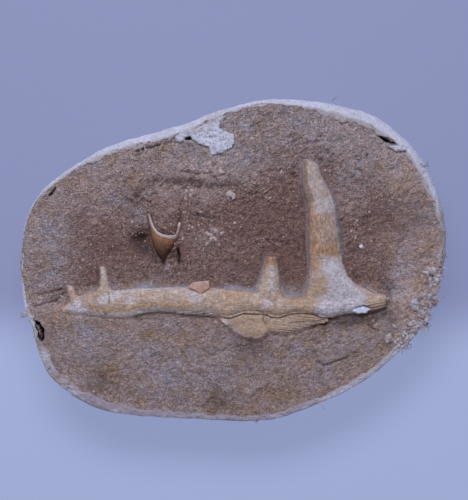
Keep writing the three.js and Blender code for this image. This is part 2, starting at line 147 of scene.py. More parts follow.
# Lines seen on the rock and on the bone: cracks and the torn layers under the jaw
JAW_CRACK = [
    (-6.9, -23.8), (-2.4, -24.6), (-0.4, -24.4), (4.4, -22.6), (7.2, -22.8), (13.7, -22.9), (16.3, -24.3),
    (19.9, -24.3), (24, -22.8), (29.5, -22.4), (33.3, -22.9), (37.5, -24.3), (41.5, -24.6),
]
FINE_CRACKS = [
    [(24, -26.3), (29.5, -25.8), (35.4, -25.8), (38.8, -24.6)],
    [(-54.4, -21.9), (-53.3, -23.3), (-52.2, -24.4)],
    [(-52.4, -13.9), (-51.9, -16.2), (-52.1, -18.2)],
    [(13, -23.6), (12.4, -25.2), (14, -26.8)],
]
ROCK_CRACKS = [
    [(-84, -19.8), (-79, -18.3), (-74.5, -17.2), (-72, -14.6), (-70.6, -12.6)],
    [(-82, -14.5), (-78, -13.9), (-74, -13), (-70.8, -12.2)],
    [(-22.3, 37.4), (-15, 36.3), (-9.5, 36.5), (-6.5, 33.5)],
    [(-18, 19.6), (-12, 18.2), (-6, 17.8)],
    [(35, -43.2), (39, -44.6), (44.5, -42.4), (49, -40.6)],
    [(57, -27.4), (61.5, -30)],
]
LAYER_CRACKS = [
    [(-39.6, -22.9), (-33, -22), (-28, -22.6), (-20, -22.9), (-14, -24), (-7, -24.4)],
    [(-41, -24.1), (-34, -23.3), (-27, -23.8), (-19, -24), (-12, -25.1)],
    [(-42, -25), (-36, -24.6), (-30, -24.9)],
]
# Gaps by the rim, the two darkest first. Each has a half width and an amount of tearing, and the two
# darkest widen the hole in the plaster.
RIM_GAPS = [
    [(-83.6, -26), (-81.8, -27.2), (-80.6, -29.4), (-80.2, -33)],
    [(61.6, 52.5), (63.4, 51.2), (67, 49.6), (69.4, 49.3)],
    [(-41, 45.8), (-33, 48), (-25.4, 50)],
    [(-77.6, 27.2), (-74.6, 30.4)],
    [(-19.8, 51.2), (-16.6, 51.4)],
]
DARKEST_GAPS = RIM_GAPS[:2]
RIM_GAP_WIDTHS = (0.75, 0.62, 0.3, 0.4, 0.6)
RIM_GAP_TEARS = (0.4, 0.6, 1, 1, 1)
RIM_GAP_DEPTH = 7
RIM_HOLE_WIDTHS = (1.7, 0.5)

# Colour patches on the rock: x, y and reach. Painted shadow darkens the rock along a line under the jaw's
# front.
BLOOM = [
    (-5.5, -48.5, 10), (-26, -49, 9), (-36, -40, 9), (68.9, -13.7, 5), (72.6, 5.5, 5.5), (71, -4, 4),
    (53.7, 38, 6), (48, 31, 4), (-77, -2, 7), (-73.3, 14.8, 4), (-78, 8, 6), (2.7, 43.8, 5), (5.5, 57, 5),
    (-60, -35, 9), (72, -30, 5), (38, -46, 5), (26, -37, 4), (45, -37, 4), (83, 20, 5), (-37.5, 19, 3.5),
    (-28, -3.6, 3), (-16, 45, 5), (30, 60, 6), (38, 52, 5), (-50, 25, 5), (-60, 40, 4), (-40, 19, 4),
]
OCHRE = [
    (-69, 33, 2.8), (-64, 35, 2.8), (-51, 43.6, 3.2), (-38.5, 44.3, 3), (-31, 46, 3.4), (-42.4, 35.6, 2.4),
    (8, 31.6, 1.8), (5.5, 35.8, 1.8), (62, 39.2, 2.6), (73.6, 32, 3), (72, 27, 2.4), (67, 4.8, 3.2),
    (82.4, 4.2, 2.6), (-57.1, -51.4, 4.6), (-50, -47, 4), (-6.1, -57.5, 4.4), (-74.8, -25.3, 4),
    (-69, -20, 3), (76.9, -11.2, 2.8), (77, -26, 3.6), (60, -44, 4), (20, -56, 6), (-80, 0, 3), (12, 56, 3),
    (-35, -30, 5), (50, -45, 4),
]
BRIGHT = [
    (-56, 34, 11), (-46, 41, 8), (-68, 26, 7), (-58, 22, 5), (47, 50, 11), (36, 60, 8), (60, 48, 8),
    (-14, 33, 9), (6, 40, 8), (-22, 40, 7), (-30, 30, 6), (-10, 34.6, 8), (-9, 30, 4), (50, 24, 7),
]
SHADED = [
    (24.4, 4, 5), (24, -6, 4), (-40, 6, 6), (-24, 3, 4), (-30, -3, 3), (20, 8, 12), (15, 22, 9),
    (28, -6, 4), (36, -25, 4), (55, -25, 6), (-65.5, 21, 4.6), (39, 38.8, 3), (50, -4, 4.4), (53, 18, 5),
    (-60, -6, 4), (-5, 20, 10), (-55, 8, 6),
]
DIMMED = [
    (68, 21, 9), (79, 18, 9), (66, -12, 4), (8, -35, 7), (-57, -51.4, 5), (-6, -58, 5),
]
# Painted shadow along a line under the jaw's front
JAW_SHADOW_LINE = [(33, -26.4), (40, -25.6), (50, -25.4), (58, -24), (64, -22)]
PALE = [
    (-0.4, 41, 4), (-11.4, 9, 4), (-1.5, 28.2, 2.4), (53, -42, 4), (62, -27, 3), (-37, 28.5, 2.2),
    (-19, 28.7, 2), (-5.5, 39, 3), (-9, 14, 3), (-13, 24, 2.4), (40, -40, 3), (-73.3, 13, 2), (3, 36, 3.4),
    (-38, 41, 2.4), (-34, 33, 3),
]
RESIDUE = [
    (28.6, 38, 5), (28.6, 30, 5), (30, 20, 6), (30, 10, 6), (30, 0, 6), (29, -8, 5), (25, -13, 5),
    (41, 32, 4), (43, 24, 5), (44.6, 16, 5), (45.6, 8, 5), (-36, -10, 6), (-46, -12, 5), (-27, -10.5, 7),
    (-2, -11, 7), (12, -2, 4), (10, -8, 5), (6, -12, 5), (-60, -13, 4), (-53, -11, 2), (30, 41, 3),
    (37, 39, 3),
]
CRUST = [(24.6, -13.4, 4.4), (8.4, -12.4, 3), (-36.4, -10.2, 2.4), (-31, -4.4, 3), (0, -12, 3)]
HALO = [(43.4, 24, 5), (45.4, 15, 6), (46.4, 5, 6), (26, -12, 6), (20, -12, 4), (-40, 14, 4), (-39, 20, 3)]

# Where each tooth parts from the jaw: the line, and the strip that holds nothing else above it
PARTINGS = {
    "front_fang": (0.5, 25, 56),
    "second_fang": (-10.5, 6, 24),
    "hind_tooth": (-11.4, -61, -49),
    "last_tooth": (-14.6, -72, -64.5),
}
# How deep the teeth reach into the jaw, and how far the flake moves to close the long crack, whose margins
# are raised to one level above the bed
ROOT_OVERLAP = 0.6
FLAKE_SPREAD = 1.5
CRACK_CLOSING = 0.5
FLUSH_LEVEL = 3.3
# The bone chip is flatter than its solid and sinks into the jaw
CHIP_FLATTENING = 0.6
CHIP_SINKING = 0.6
# Cells of the even meshes of the jaw and of the small pieces
BONE_CELL = 0.33
SMALL_CELL = 0.25
# Zones seen from above that hold one bone only: left, right and lower limit
FRONT_FANG_ZONE = (27, 62, -12)
FANG_SHAFT_ZONE = (27, 50, 0)
FANG_AND_ROOT_ZONE = (27, 58, -20)
SECOND_FANG_ZONE = (6, 24, -14)
HIND_ZONE = (-95, -47, -13)
# Left and right edges of the front fang up its length: y, left and right
FANG_EDGES = [
    (-19, 29.5, 58), (-11.8, 31.2, 54.6), (-7.6, 31.6, 49.6), (4, 31.8, 45.5), (18, 31.6, 43.7),
    (27, 30, 41.6), (32, 28.8, 39.3), (37.5, 28.9, 36.4), (40.5, 29.3, 34.6), (42.4, 30.2, 33.2),
]
FANG_TIP_X = 31.8
# Levels up the front fang between which its colours begin or end
STRIP_STARTS = (-8, -3)
ROOT_ENDS = (-2, 2.6)
ENAMEL_STARTS = (-1, 3)
SHAFT_STARTS = (0, 3)
SHAFT_ENDS = (18, 20.5)
RICHEST_ORANGE = 4
BAND_STARTS = (19, 20.5)
BAND_ENDS = (25, 27.5)
FACET_STARTS = (22, 26)
# Lines and spots on the bones: left limit of the front fang's grey-white root, the cream edge right of it,
# torn and pale margins, a line of painted shade on the second fang's side, the flake's lower edge, and brown,
# ochre and chalky places and pores
ROOT_LIMIT = [(-25, 34.6), (-19, 34.6), (-16, 35.8), (-13, 39.2), (-8, 38.8), (-3, 35.8), (1, 37.5), (3, 41)]
ROOT_CREAM = [(45.6, 0), (50.2, -8.8), (55.6, -13.6), (63.2, -14.6)]
TORN_END = [(57.5, -21), (60, -19.8), (63.8, -17.8)]
TORN_MARGIN = [(42, -24.4), (49, -23.4), (57, -21.4)]
PALE_MARGIN = [(41, -25.1), (50, -24.1), (58, -22.7), (64.5, -20.6)]
SECOND_FANG_SHADE_LINE = [(18.9, 1.4), (20.6, -8), (21.4, -11)]
FLAKE_EDGE = [(-4, -25.8), (3, -31.6), (8, -33.4), (13, -34), (22, -31.5), (34, -28)]
BROWN_END = [(-61, -15, 3), (-57, -16, 2)]
OCHRE_JAW = [(32, -16, 4), (35, -10, 3), (26, -18, 5), (-2, -18, 5)]
CHALKY_JAW = [
    (-55, -17, 2), (-53, -15.6, 1.6), (-49.4, -14.7, 2), (-43.4, -16.6, 2.4), (-16.4, -15.2, 2.2),
    (-66, -19, 2.4), (-68, -21.8, 2.4), (-63, -21.5, 2), (14.6, -18, 2),
]
# The jaw's lower margin, chalky and cream, its cream brightened with painted light
LOWER_MARGIN = [
    (-72.4, -21.9), (-66, -22.6), (-56, -23.4), (-45, -23.8), (-42, -22.6), (-38, -21.8), (-32.7, -21.4),
    (-22, -22.3), (-9, -23.2),
]
UPPER_MARGIN = [(-47.6, -13.2), (-39, -12.2), (-30, -11.6), (-19, -11.4)]
OCHRE_STRIP = [(-60, -19.6), (-54, -20.4), (-46, -20.6), (-38, -19), (-28, -20), (-20, -20.8)]
PORES = [(-59, -18.5, 5), (-39.6, -17, 2.4), (-20, -18, 4), (44, -9, 5), (38, -15, 5), (-3, -16, 5)]

# Loose things on the block: x, y, reach of the cluster, how many, the largest size of one, and the tone
# of all of them if it is known
CHIP_CLUSTERS = [
    (-2, 27.6, 2, 5, 3.6, 0.85), (-18.2, 14.2, 0.8, 3, 2.4, 0.8), (-9, 9.4, 3.6, 9, 3.2, 0.78),
    (-19.6, 28, 3, 6, 2.2, 0.78), (-37, 28.5, 2, 4, 2, 0.85), (-8, 45.6, 4, 7, 3, 0.85),
    (-6, 38, 4, 6, 2.6, 0.8), (-11.4, 9, 4.5, 12, 1.7), (-0.4, 28.2, 2.4, 6, 2.2),
    (-18.1, 30.8, 1.6, 5, 1.2), (-29.9, 38.8, 1.6, 4, 1.5), (61, -27.4, 2.6, 6, 2), (53.5, -43, 5, 10, 1.6),
    (-8, 38, 5, 12, 1.5), (-12, 20, 7, 12, 1.2), (0, 0, 70, 90, 0.8), (-60, -20, 20, 20, 0.7),
    (40, -50, 14, 16, 0.9), (69.3, -30.7, 2, 4, 2.4), (75.2, -19.6, 2, 4, 2.4),
]
CRUMB_CLUSTERS = [
    (82.4, -5.1, 0.7, 3, 4.4, 1), (68.1, -27.8, 0.7, 2, 4.2, 1), (65.1, -33.3, 0.6, 2, 3.8, 1),
    (76.3, -18.8, 1.8, 4, 4, 0.9), (84, -10.5, 1.2, 5, 3, 1), (81.8, -15.2, 1.4, 5, 3, 0.9),
    (79, -22.7, 2, 6, 2.8, 1), (75, -26, 2, 6, 2.8, 0.9), (72.4, -31, 2, 6, 2.6, 1),
    (85.6, -7, 2, 6, 2.4, 1), (70, -36, 2, 5, 2, 0.9), (88, 2, 2.4, 16, 1.2), (86.6, -4, 3, 26, 1.6),
    (84.4, -12, 3.6, 44, 1.8), (81, -20, 4, 56, 2), (77, -27, 4, 50, 2), (72.5, -34, 3.4, 36, 1.7),
    (83.4, -4.8, 1.4, 9, 4.4), (82.2, -9.6, 1.4, 7, 3), (68.4, -27.6, 0.8, 3, 3.6),
    (65.8, -33.2, 0.8, 3, 3.8), (78.6, -15.6, 2.2, 9, 3.4), (80.6, -24, 2, 9, 2.8), (84.6, -16, 1.6, 8, 3),
    (-85.4, -22, 2.4, 24, 1.2), (-83, -34, 2.4, 18, 1.1), (-79, -45, 3, 34, 1.4), (-72, -53, 4, 40, 1.4),
    (-60, -60, 4, 28, 1.2), (89, 12, 2, 12, 1), (62, -46, 4, 12, 0.9), (-45, 49, 5, 12, 0.8),
    (85.6, 24, 3, 14, 0.9), (-89, 0, 2, 10, 0.8),
]
# How far past the rock's edge a crumb may lie, and the random shapes of chips and crumbs
LAST_CRUMB = 3.3
LUMP_SIZES = (0.35, 1)
LUMP_LENGTHS = (0.7, 1.3)
LUMP_WIDTHS = (0.5, 1)
LUMP_TILTS = (-0.5, 0.5)
LUMP_CORNERS = (-0.3, 0.25)
CHIP_FLATNESS = 0.36
CRUMB_FLATNESS = 0.8
# Loose grains all over the face: how many, share of them where it is smooth, sizes and the roughest places
GRAIN_COUNT = 2300
GRAIN_LEAST = 0.22
GRAIN_FIELD = (88, 66)
GRAIN_SIZES = (0.7, 0.9, 1.1, 1.6)
ROUGHEST = [
    (-8, 20, 14), (-14, 5, 8), (-40, 34, 16), (-60, 20, 14), (-66, 6, 12), (10, 52, 16), (34, 54, 14),
    (62, 30, 14), (50, 22, 12), (62, 8, 12), (-30, 46, 12), (12, 34, 10), (-70, -10, 8), (-30, 24, 10),
    (55, 44, 10),
]
PEBBLE = (54.3, 5.6, 0.9)
# Burlap fibres at the rim: x, y, reach of the tuft and how many
FIBRE_CLUSTERS = [
    (87, -4, 3, 14), (84.4, -16, 4, 30), (79.5, -26, 4, 28), (72.5, -35, 3, 14), (-87.4, -22.5, 1.2, 10),
    (42, 67.6, 0.4, 1), (10.4, -67.6, 1, 3), (36.6, -60.6, 1.2, 3), (-36, 46.4, 3, 8), (79, 37, 3, 8),
]
FIBRE_RADIUS = 0.14
FIBRE_LENGTHS = (1.6, 4.2)
FIBRE_RISE = 0.12
FIBRE_STEPS = 4

# How far the filler and the plaster flake's lip are spread and shifted from their solids
FILLER_SPREAD = (1.02, 1.25, 0.9)
FILLER_SHIFT = (-0.6, -0.5, 0.3)
FLAKE_LIP_SPREAD = (1.6, 1.35, 1)
FLAKE_LIP_SHIFT = (1.7, -1, 0.3)
NO_SPREAD = (1, 1, 1)
NO_SHIFT = (0, 0, 0)
# What lays places flat
FLAT = (1, 1, 0)

# Camera, light and floor. The light's place and size and the floor's half side are in metres.
CAMERA_PLACE = (0.4, 4.2)
CAMERA_DISTANCE = 500
VIEW_HEIGHT = 210.8
KEY_PLACE = (-0.06, 0.36, 0.5)
KEY_SIZE = (0.4, 0.22)
KEY_POWER = 3.05
COOL_LIGHT = (0.66, 0.705, 1.0)
SKY_STRENGTH = 0.31
FLOOR_HALF = 1.5
# The floor's painted glow, and its colour, grow from one y to the other
GLOW_STARTS = -12.0
GLOW_ENDS = -44.0

# Colours, as linear shares of red, green and blue
SAND = (0.71, 0.535, 0.435)
SAND_WARM = (0.67, 0.45, 0.29)
SAND_DUG = (0.455, 0.264, 0.18)
SAND_BLOOM = (0.7, 0.6, 0.545)
SAND_OCHRE = (0.6, 0.37, 0.18)
SAND_PALE = (0.8, 0.66, 0.54)
SAND_BRIGHT = (0.86, 0.63, 0.48)
RESIDUE_WHITE = (0.72, 0.63, 0.6)
CRUST_WHITE = (0.86, 0.8, 0.76)
# Dark specks and pores, and painted shade in cracks, pits and gaps
PIT_DARK = (0.13, 0.085, 0.07)
# Black painted shade for the darkest gaps
GAP_SHADE_BLACK = (0.012, 0.01, 0.009)
PLASTER_WHITE = (0.95, 0.93, 0.89)
PLASTER_SAND = (0.62, 0.48, 0.37)
PLASTER_OCHRE = (0.55, 0.36, 0.2)
# Painted shade on the jacket's lower rim
PLASTER_SHADE_GREY = (0.58, 0.485, 0.46)
BONE_TAN = (0.71, 0.485, 0.29)
BONE_PALE = (0.76, 0.59, 0.42)
BONE_CHALK = (0.8, 0.725, 0.645)
# Cream brightened with painted light
BONE_CREAM_LIT = (0.98, 0.85, 0.67)
BONE_OCHRE = (0.66, 0.41, 0.2)
BONE_BROWN = (0.36, 0.23, 0.14)
# Painted shade on a fang's side
BONE_SIDE_SHADE = (0.5, 0.4, 0.36)
ENAMEL_ORANGE = (0.58, 0.29, 0.11)
ENAMEL_BROWN = (0.33, 0.21, 0.125)
ENAMEL_PALE = (0.52, 0.39, 0.275)
# Painted shade in the jaw's cracks
CRACK_SHADE = (0.07, 0.045, 0.035)
HORN_BROWN = (0.34, 0.165, 0.08)
HORN_DARK = (0.13, 0.06, 0.035)
HORN_RIM = (0.8, 0.63, 0.51)
CHIP_PINK = (0.6, 0.345, 0.21)
PUTTY_WHITE = (0.86, 0.87, 0.9)
FIBRE_BROWN = (0.24, 0.17, 0.13)
CRUMB_DARK = (0.4, 0.29, 0.22)
CRUMB_PALE = (0.78, 0.7, 0.62)
# The floor's colour and its painted glow, far from and near the viewer
FLOOR_FAR = (0.12, 0.12, 0.12)
FLOOR_NEAR = (0.25, 0.25, 0.25)
GLOW_FAR = (0.18, 0.205, 0.38)
GLOW_NEAR = (0.229, 0.277, 0.469)


def smooth(value, low, high):
    """0 up to low and 1 from high on, with soft ends."""
    share = np.clip((value - low) / (high - low), 0, 1)
    return share * share * (3 - 2 * share)


def hump(value, middle, width):
    """1 where a value is at the middle, falling off over a width on both sides."""
    return np.exp(-(((value - middle) / width) ** 2))


def rough(points, size, shift=0.0):
    """Noise of about -1 to 1 over points, with bumps about as large as size."""
    return np.array([noise.noise(place) for place in (np.asarray(points) / size + shift).tolist()])


def layered(points, *rows):
    """Noise of several sizes added up, from rows of its swing, its size and a shift where it has one."""
    return sum(swing * rough(points, size, *shift) for swing, size, *shift in rows)


def from_line(x, y, line):
    """Distance of each point from a line through a list of places."""
    nearest = np.full(np.shape(x), np.inf)
    for (ax, ay), (bx, by) in zip(line, line[1:]):
        along = ((x - ax) * (bx - ax) + (y - ay) * (by - ay)) / ((bx - ax) ** 2 + (by - ay) ** 2)
        along = np.clip(along, 0, 1)
        nearest = np.minimum(nearest, np.hypot(x - ax - along * (bx - ax), y - ay - along * (by - ay)))
    return nearest


def on_line(x, y, line, width):
    """1 on a line and 0 beyond about its width."""
    return hump(from_line(x, y, line), 0, width)


def from_dark_gap(x, y):
    """Distance of each point from the nearer of the two darkest gaps."""
    return np.minimum.reduce([from_line(x, y, line) for line in DARKEST_GAPS])


def spot(x, y, spot_x, spot_y, reach):
    """A soft spot, 1 in its middle."""
    return np.exp(-((x - spot_x) ** 2 + (y - spot_y) ** 2) / reach**2)


def spots(x, y, table):
    """How far each point lies inside a table's soft spots, up to 1."""
    return np.minimum(sum(spot(x, y, *row) for row in table), 1)


def in_zone(x, y, zone):
    """Which points lie between a zone's left and right limits and above its lower one."""
    left, right, low = zone
    return (x > left) & (x < right) & (y > low)


def block_edge(steps):
    """Points round the block's edge, anticlockwise: x, y and the width of the rim."""
    rows = np.array(EDGE, dtype=float)[::-1]
    at = np.arange(steps) * len(rows) / steps
    row = at.astype(int)
    t = (at - row)[:, None]
    before, here, after, later = (rows[(row + shift) % len(rows)] for shift in (-1, 0, 1, 2))
    bend = 2 * before - 5 * here + 4 * after - later
    twist = 3 * here - before - 3 * after + later
    points = (2 * here + (after - before) * t + bend * t**2 + twist * t**3) / 2
    points[:, :2] -= (points[:, :2].min(axis=0) + points[:, :2].max(axis=0)) / 2
    return points


def places(bm):
    """The vertices' places in mm."""
    return np.array([vert.co[:] for vert in bm.verts]) / MM


def pushed(bm, distances):
    """Moves each vertex along its normal by a distance in mm."""
    bm.normal_update()
    for vert, distance in zip(bm.verts, distances):
        vert.co += vert.normal * (float(distance) * MM)
    return bm


def placed(bm, points):
    """Puts the vertices at places in mm."""
    for vert, point in zip(bm.verts, points.tolist()):
        vert.co = Vector(point) * MM
    return bm


def open_edges(bm):
    return [edge for edge in bm.edges if edge.is_boundary]


def of_kind(parts, kind):
    """The vertices, edges or faces among a bmesh operator's results."""
    return [part for part in parts if isinstance(part, kind)]


def node_copy(*names):
    """The CAD nodes' meshes in one bmesh, with their loose triangles merged."""
    bm = bmesh.new()
    for name in names:
        bm.from_mesh(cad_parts[name].data)
    bmesh.ops.remove_doubles(bm, verts=bm.verts, dist=0.001 * MM)
    return bm


def even_mesh(bm, cell, rounds):
    """A closed mesh of even cells round a shape, smoothed for some rounds."""
    mesh = bpy.data.meshes.new("rough_shape")
    bm.to_mesh(mesh)
    bm.free()
    shape = bpy.data.objects.new("rough_shape", mesh)
    bpy.context.collection.objects.link(shape)
    remesh = shape.modifiers.new("even_cells", "REMESH")
    remesh.mode = "VOXEL"
    remesh.voxel_size = cell * MM
    even = bpy.data.meshes.new_from_object(shape.evaluated_get(bpy.context.evaluated_depsgraph_get()))
    made = bmesh.new()
    made.from_mesh(even)
    bpy.data.objects.remove(shape)
    bpy.data.meshes.remove(even)
    axes = {"use_axis_x": True, "use_axis_y": True, "use_axis_z": True}
    for _ in range(rounds):
        bmesh.ops.smooth_vert(made, verts=made.verts, factor=0.5, **axes)
    return made


def spread_out(bm, spread, shift):
    """A shape spread about its middle and shifted."""
    points = places(bm)
    middle = points.mean(axis=0)
    return placed(bm, middle + (points - middle) * spread + shift)


def piece(bm, name, material, replaces=(), masks=None, flat_normals=False):
    """A finished piece on the root body, painted with masks made from its vertices' places in mm."""
    mesh = bpy.data.meshes.new(name)
    bm.to_mesh(mesh)
    bm.free()
    mesh.materials.append(material)
    if not flat_normals:
        mesh.polygons.foreach_set("use_smooth", [True] * len(mesh.polygons))
    if masks:
        points = np.empty(3 * len(mesh.vertices))
        mesh.vertices.foreach_get("co", points)
        for mask, values in masks(points.reshape(-1, 3) / MM).items():
            layer = mesh.attributes.new(mask, "FLOAT", "POINT")
            layer.data.foreach_set("value", np.clip(values, 0, 1).astype(np.float32))
    made = bpy.data.objects.new(name, mesh)
    bpy.context.collection.objects.link(made)
    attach(made, "root")
    if replaces:
        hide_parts(*replaces)
    return made


# Shader nodes


def node(tree, kind, inputs=None, **settings):
    """A shader node with its settings, and its inputs set or linked."""
    made = tree.nodes.new(kind)
    for name, value in settings.items():
        setattr(made, name, value)
    for name, value in (inputs or {}).items():
        if isinstance(value, bpy.types.NodeSocket):
            tree.links.new(value, made.inputs[name])
        else:
            made.inputs[name].default_value = value
    return made


def math_node(tree, operation, first, second, third=0.0, clamp=False):
    inputs = {0: first, 1: second, 2: third}
    return node(tree, "ShaderNodeMath", inputs, operation=operation, use_clamp=clamp).outputs[0]


def ramp(tree, value, low, high, start=0.0, end=1.0):
    """A value taken from low...high to start...end, with soft ends."""
    inputs = {"Value": value, "From Min": low, "From Max": high, "To Min": start, "To Max": end}
    return node(tree, "ShaderNodeMapRange", inputs, interpolation_type="SMOOTHSTEP").outputs["Result"]


def mean_of(tree, share, first, second):
    """Two values mixed by a share."""
    return node(tree, "ShaderNodeMix", {0: share, 2: first, 3: second}).outputs[0]


def blend(tree, share, first, second, kind="MIX"):
    """Two colours mixed by a share."""
    made = node(tree, "ShaderNodeMix", data_type="RGBA", blend_type=kind)
    sockets = {"Factor": share, "A": first, "B": second}
    for socket in made.inputs:
        if socket.enabled and socket.name in sockets:
            value = sockets[socket.name]
            if isinstance(value, bpy.types.NodeSocket):
                tree.links.new(value, socket)
            elif socket.type == "RGBA":
                socket.default_value = (*value, 1)
            else:
                socket.default_value = value
    return next(socket for socket in made.outputs if socket.enabled)


def cloud_texture(tree, place, scale, detail, roughness=0.5):
    inputs = {"Vector": place, "Scale": scale, "Detail": detail, "Roughness": roughness}
    return node(tree, "ShaderNodeTexNoise", inputs).outputs


def cell_texture(tree, place, scale, **settings):
    return node(tree, "ShaderNodeTexVoronoi", {"Vector": place, "Scale": scale}, **settings).outputs


def red_of(tree, colour):
    return node(tree, "ShaderNodeSeparateColor", {"Color": colour}).outputs["Red"]


def effect(name, inputs, outputs):
    """An empty node group with named inputs and outputs."""
    tree = bpy.data.node_groups.new(name, "ShaderNodeTree")
    tree.interface.new_socket("Place", in_out="INPUT", socket_type="NodeSocketVector")
    for label, value in inputs.items():
        kind = "NodeSocketVector" if isinstance(value, tuple) else "NodeSocketFloat"
        tree.interface.new_socket(label, in_out="INPUT", socket_type=kind).default_value = value
    for label in outputs:
        tree.interface.new_socket(label, in_out="OUTPUT", socket_type="NodeSocketFloat")
    return tree, tree.nodes.new("NodeGroupInput").outputs, tree.nodes.new("NodeGroupOutput").inputs


def gritty_sand():
    """Sand grains: a shade for the colour and a height for the bump."""
    tree, given, out = effect("gritty_sand", {"Grains": 1.6}, ["Shade", "Height"])
    fine = cloud_texture(tree, given["Place"], given["Grains"], 4, 0.75)
    cells = cell_texture(tree, given["Place"], given["Grains"])
    both = mean_of(tree, 0.5, red_of(tree, cells["Color"]), ramp(tree, fine["Fac"], 0.3, 0.7))
    tree.links.new(both, out["Shade"])
    lumps = math_node(tree, "MULTIPLY", cells["Distance"], -0.5)
    tree.links.new(math_node(tree, "ADD", both, lumps), out["Height"])
    return tree


def soft_patches():
    """Soft-edged patches over about half of the surface."""
    tree, given, out = effect("soft_patches", {"Scale": 0.1, "Edge": 0.1}, ["Mask"])
    cloud = cloud_texture(tree, given["Place"], given["Scale"], 4, 0.6)
    low = math_node(tree, "SUBTRACT", 0.5, given["Edge"])
    high = math_node(tree, "ADD", 0.5, given["Edge"])
    tree.links.new(ramp(tree, cloud["Fac"], low, high), out["Mask"])
    return tree


def specks():
    """Small round specks on a share of the cells."""
    tree, given, out = effect("specks", {"Scale": 0.6, "Share": 0.1, "Size": 0.3}, ["Mask"])
    cells = cell_texture(tree, given["Place"], given["Scale"])
    chosen = math_node(tree, "LESS_THAN", red_of(tree, cells["Color"]), given["Share"])
    near = ramp(tree, cells["Distance"], given["Size"], 0.0)
    tree.links.new(math_node(tree, "MULTIPLY", chosen, near), out["Mask"])
    return tree


def drawn_streaks():
    """Streaks drawn out along the axis that the stretch makes small."""
    inputs = {"Stretch": (1.0, 0.1, 1.0), "Scale": 1.0}
    tree, given, out = effect("drawn_streaks", inputs, ["Shade", "Height"])
    drawn = node(tree, "ShaderNodeVectorMath", {0: given["Place"], 1: given["Stretch"]}, operation="MULTIPLY")
    fibre = cloud_texture(tree, drawn.outputs[0], given["Scale"], 3, 0.6)
    tree.links.new(ramp(tree, fibre["Fac"], 0.35, 0.65), out["Shade"])
    tree.links.new(fibre["Fac"], out["Height"])
    return tree


def hairlines():
    """Fine cracks between cells of a size."""
    tree, given, out = effect("hairlines", {"Scale": 0.3, "Width": 0.03}, ["Mask"])
    bent = cloud_texture(tree, given["Place"], 0.8, 2)
    nudge = node(tree, "ShaderNodeVectorMath", {0: bent["Color"], 1: given["Place"]}, operation="ADD")
    cells = cell_texture(tree, nudge.outputs[0], given["Scale"], feature="DISTANCE_TO_EDGE")
    tree.links.new(ramp(tree, cells["Distance"], given["Width"], 0.0), out["Mask"])
    return tree


EFFECTS = {
    made.name: made for made in (gritty_sand(), soft_patches(), specks(), drawn_streaks(), hairlines())
}


class Finish:
    """A material with places in mm, masks from the piece, shared effects and one Principled BSDF.

    Its colour starts plain, and is then covered and shaded layer by layer.
    """

    def __init__(self, name, colour, roughness, specular=0.2):
        self.material = bpy.data.materials.new(name)
        self.material.use_nodes = True
        self.tree = self.material.node_tree
        self.surface = self.tree.nodes["Principled BSDF"]
        self.surface.inputs["Specular IOR Level"].default_value = specular
        self.surface.inputs["Roughness"].default_value = roughness
        coordinates = node(self.tree, "ShaderNodeTexCoord").outputs["Object"]
        scaled = node(self.tree, "ShaderNodeVectorMath", {0: coordinates, "Scale": 1 / MM}, operation="SCALE")
        self.place = scaled.outputs[0]
        self.colour = colour

    def mask(self, name):
        return node(self.tree, "ShaderNodeAttribute", attribute_name=name).outputs["Fac"]

    def effect(self, name, output, **inputs):
        made = node(self.tree, "ShaderNodeGroup", node_tree=EFFECTS[name])
        self.tree.links.new(self.place, made.inputs["Place"])
        for label, value in inputs.items():
            made.inputs[label].default_value = value
        return made.outputs[output]

    def grit(self, grains, output="Shade"):
        return self.effect("gritty_sand", output, Grains=grains)

    def patches(self, scale, edge):
        return self.effect("soft_patches", "Mask", Scale=scale, Edge=edge)

    def specks(self, scale, share, size):
        return self.effect("specks", "Mask", Scale=scale, Share=share, Size=size)

    def streaks(self, stretch, scale):
        return self.effect("drawn_streaks", "Shade", Stretch=stretch, Scale=scale)

    def times(self, first, second):
        return math_node(self.tree, "MULTIPLY", first, second, clamp=True)

    def softened(self, shade, softness):
        """A shade drawn towards its middle."""
        return mean_of(self.tree, softness, shade, 0.5)

    def broken(self, name, patches, strength):
        """A mask with a ragged edge, its inside broken up by patches."""
        torn = math_node(self.tree, "MULTIPLY_ADD", patches, strength, 0.15)
        return self.times(self.mask(name), torn)

    def cover(self, share, tint, strength=None):
        """Lays a tint over the colour where a share, or the mask of that name, is high."""
        share = self.mask(share) if isinstance(share, str) else share
        share = share if strength is None else self.times(share, strength)
        self.colour = blend(self.tree, share, self.colour, tint)

    def shaded(self, shade, dark, light):
        """The colour so far, made darker or lighter by a shade of 0 to 1."""
        level = ramp(self.tree, shade, 0.0, 1.0, dark, light)
        grey = node(self.tree, "ShaderNodeCombineColor", {"Red": level, "Green": level, "Blue": level})
        return blend(self.tree, 1.0, self.colour, grey.outputs[0], "MULTIPLY")

    def shade(self, shade, dark, light):
        self.colour = self.shaded(shade, dark, light)

    def done(self, height, distance, roughness=None):
        """Links the colour and a bump of a depth in mm, and gives the material."""
        self.tree.links.new(self.colour, self.surface.inputs["Base Color"])
        inputs = {"Height": height, "Distance": distance * MM, "Strength": 1.0}
        bump = node(self.tree, "ShaderNodeBump", inputs)
        self.tree.links.new(bump.outputs["Normal"], self.surface.inputs["Normal"])
        if roughness is not None:
            self.tree.links.new(roughness, self.surface.inputs["Roughness"])
        return self.material


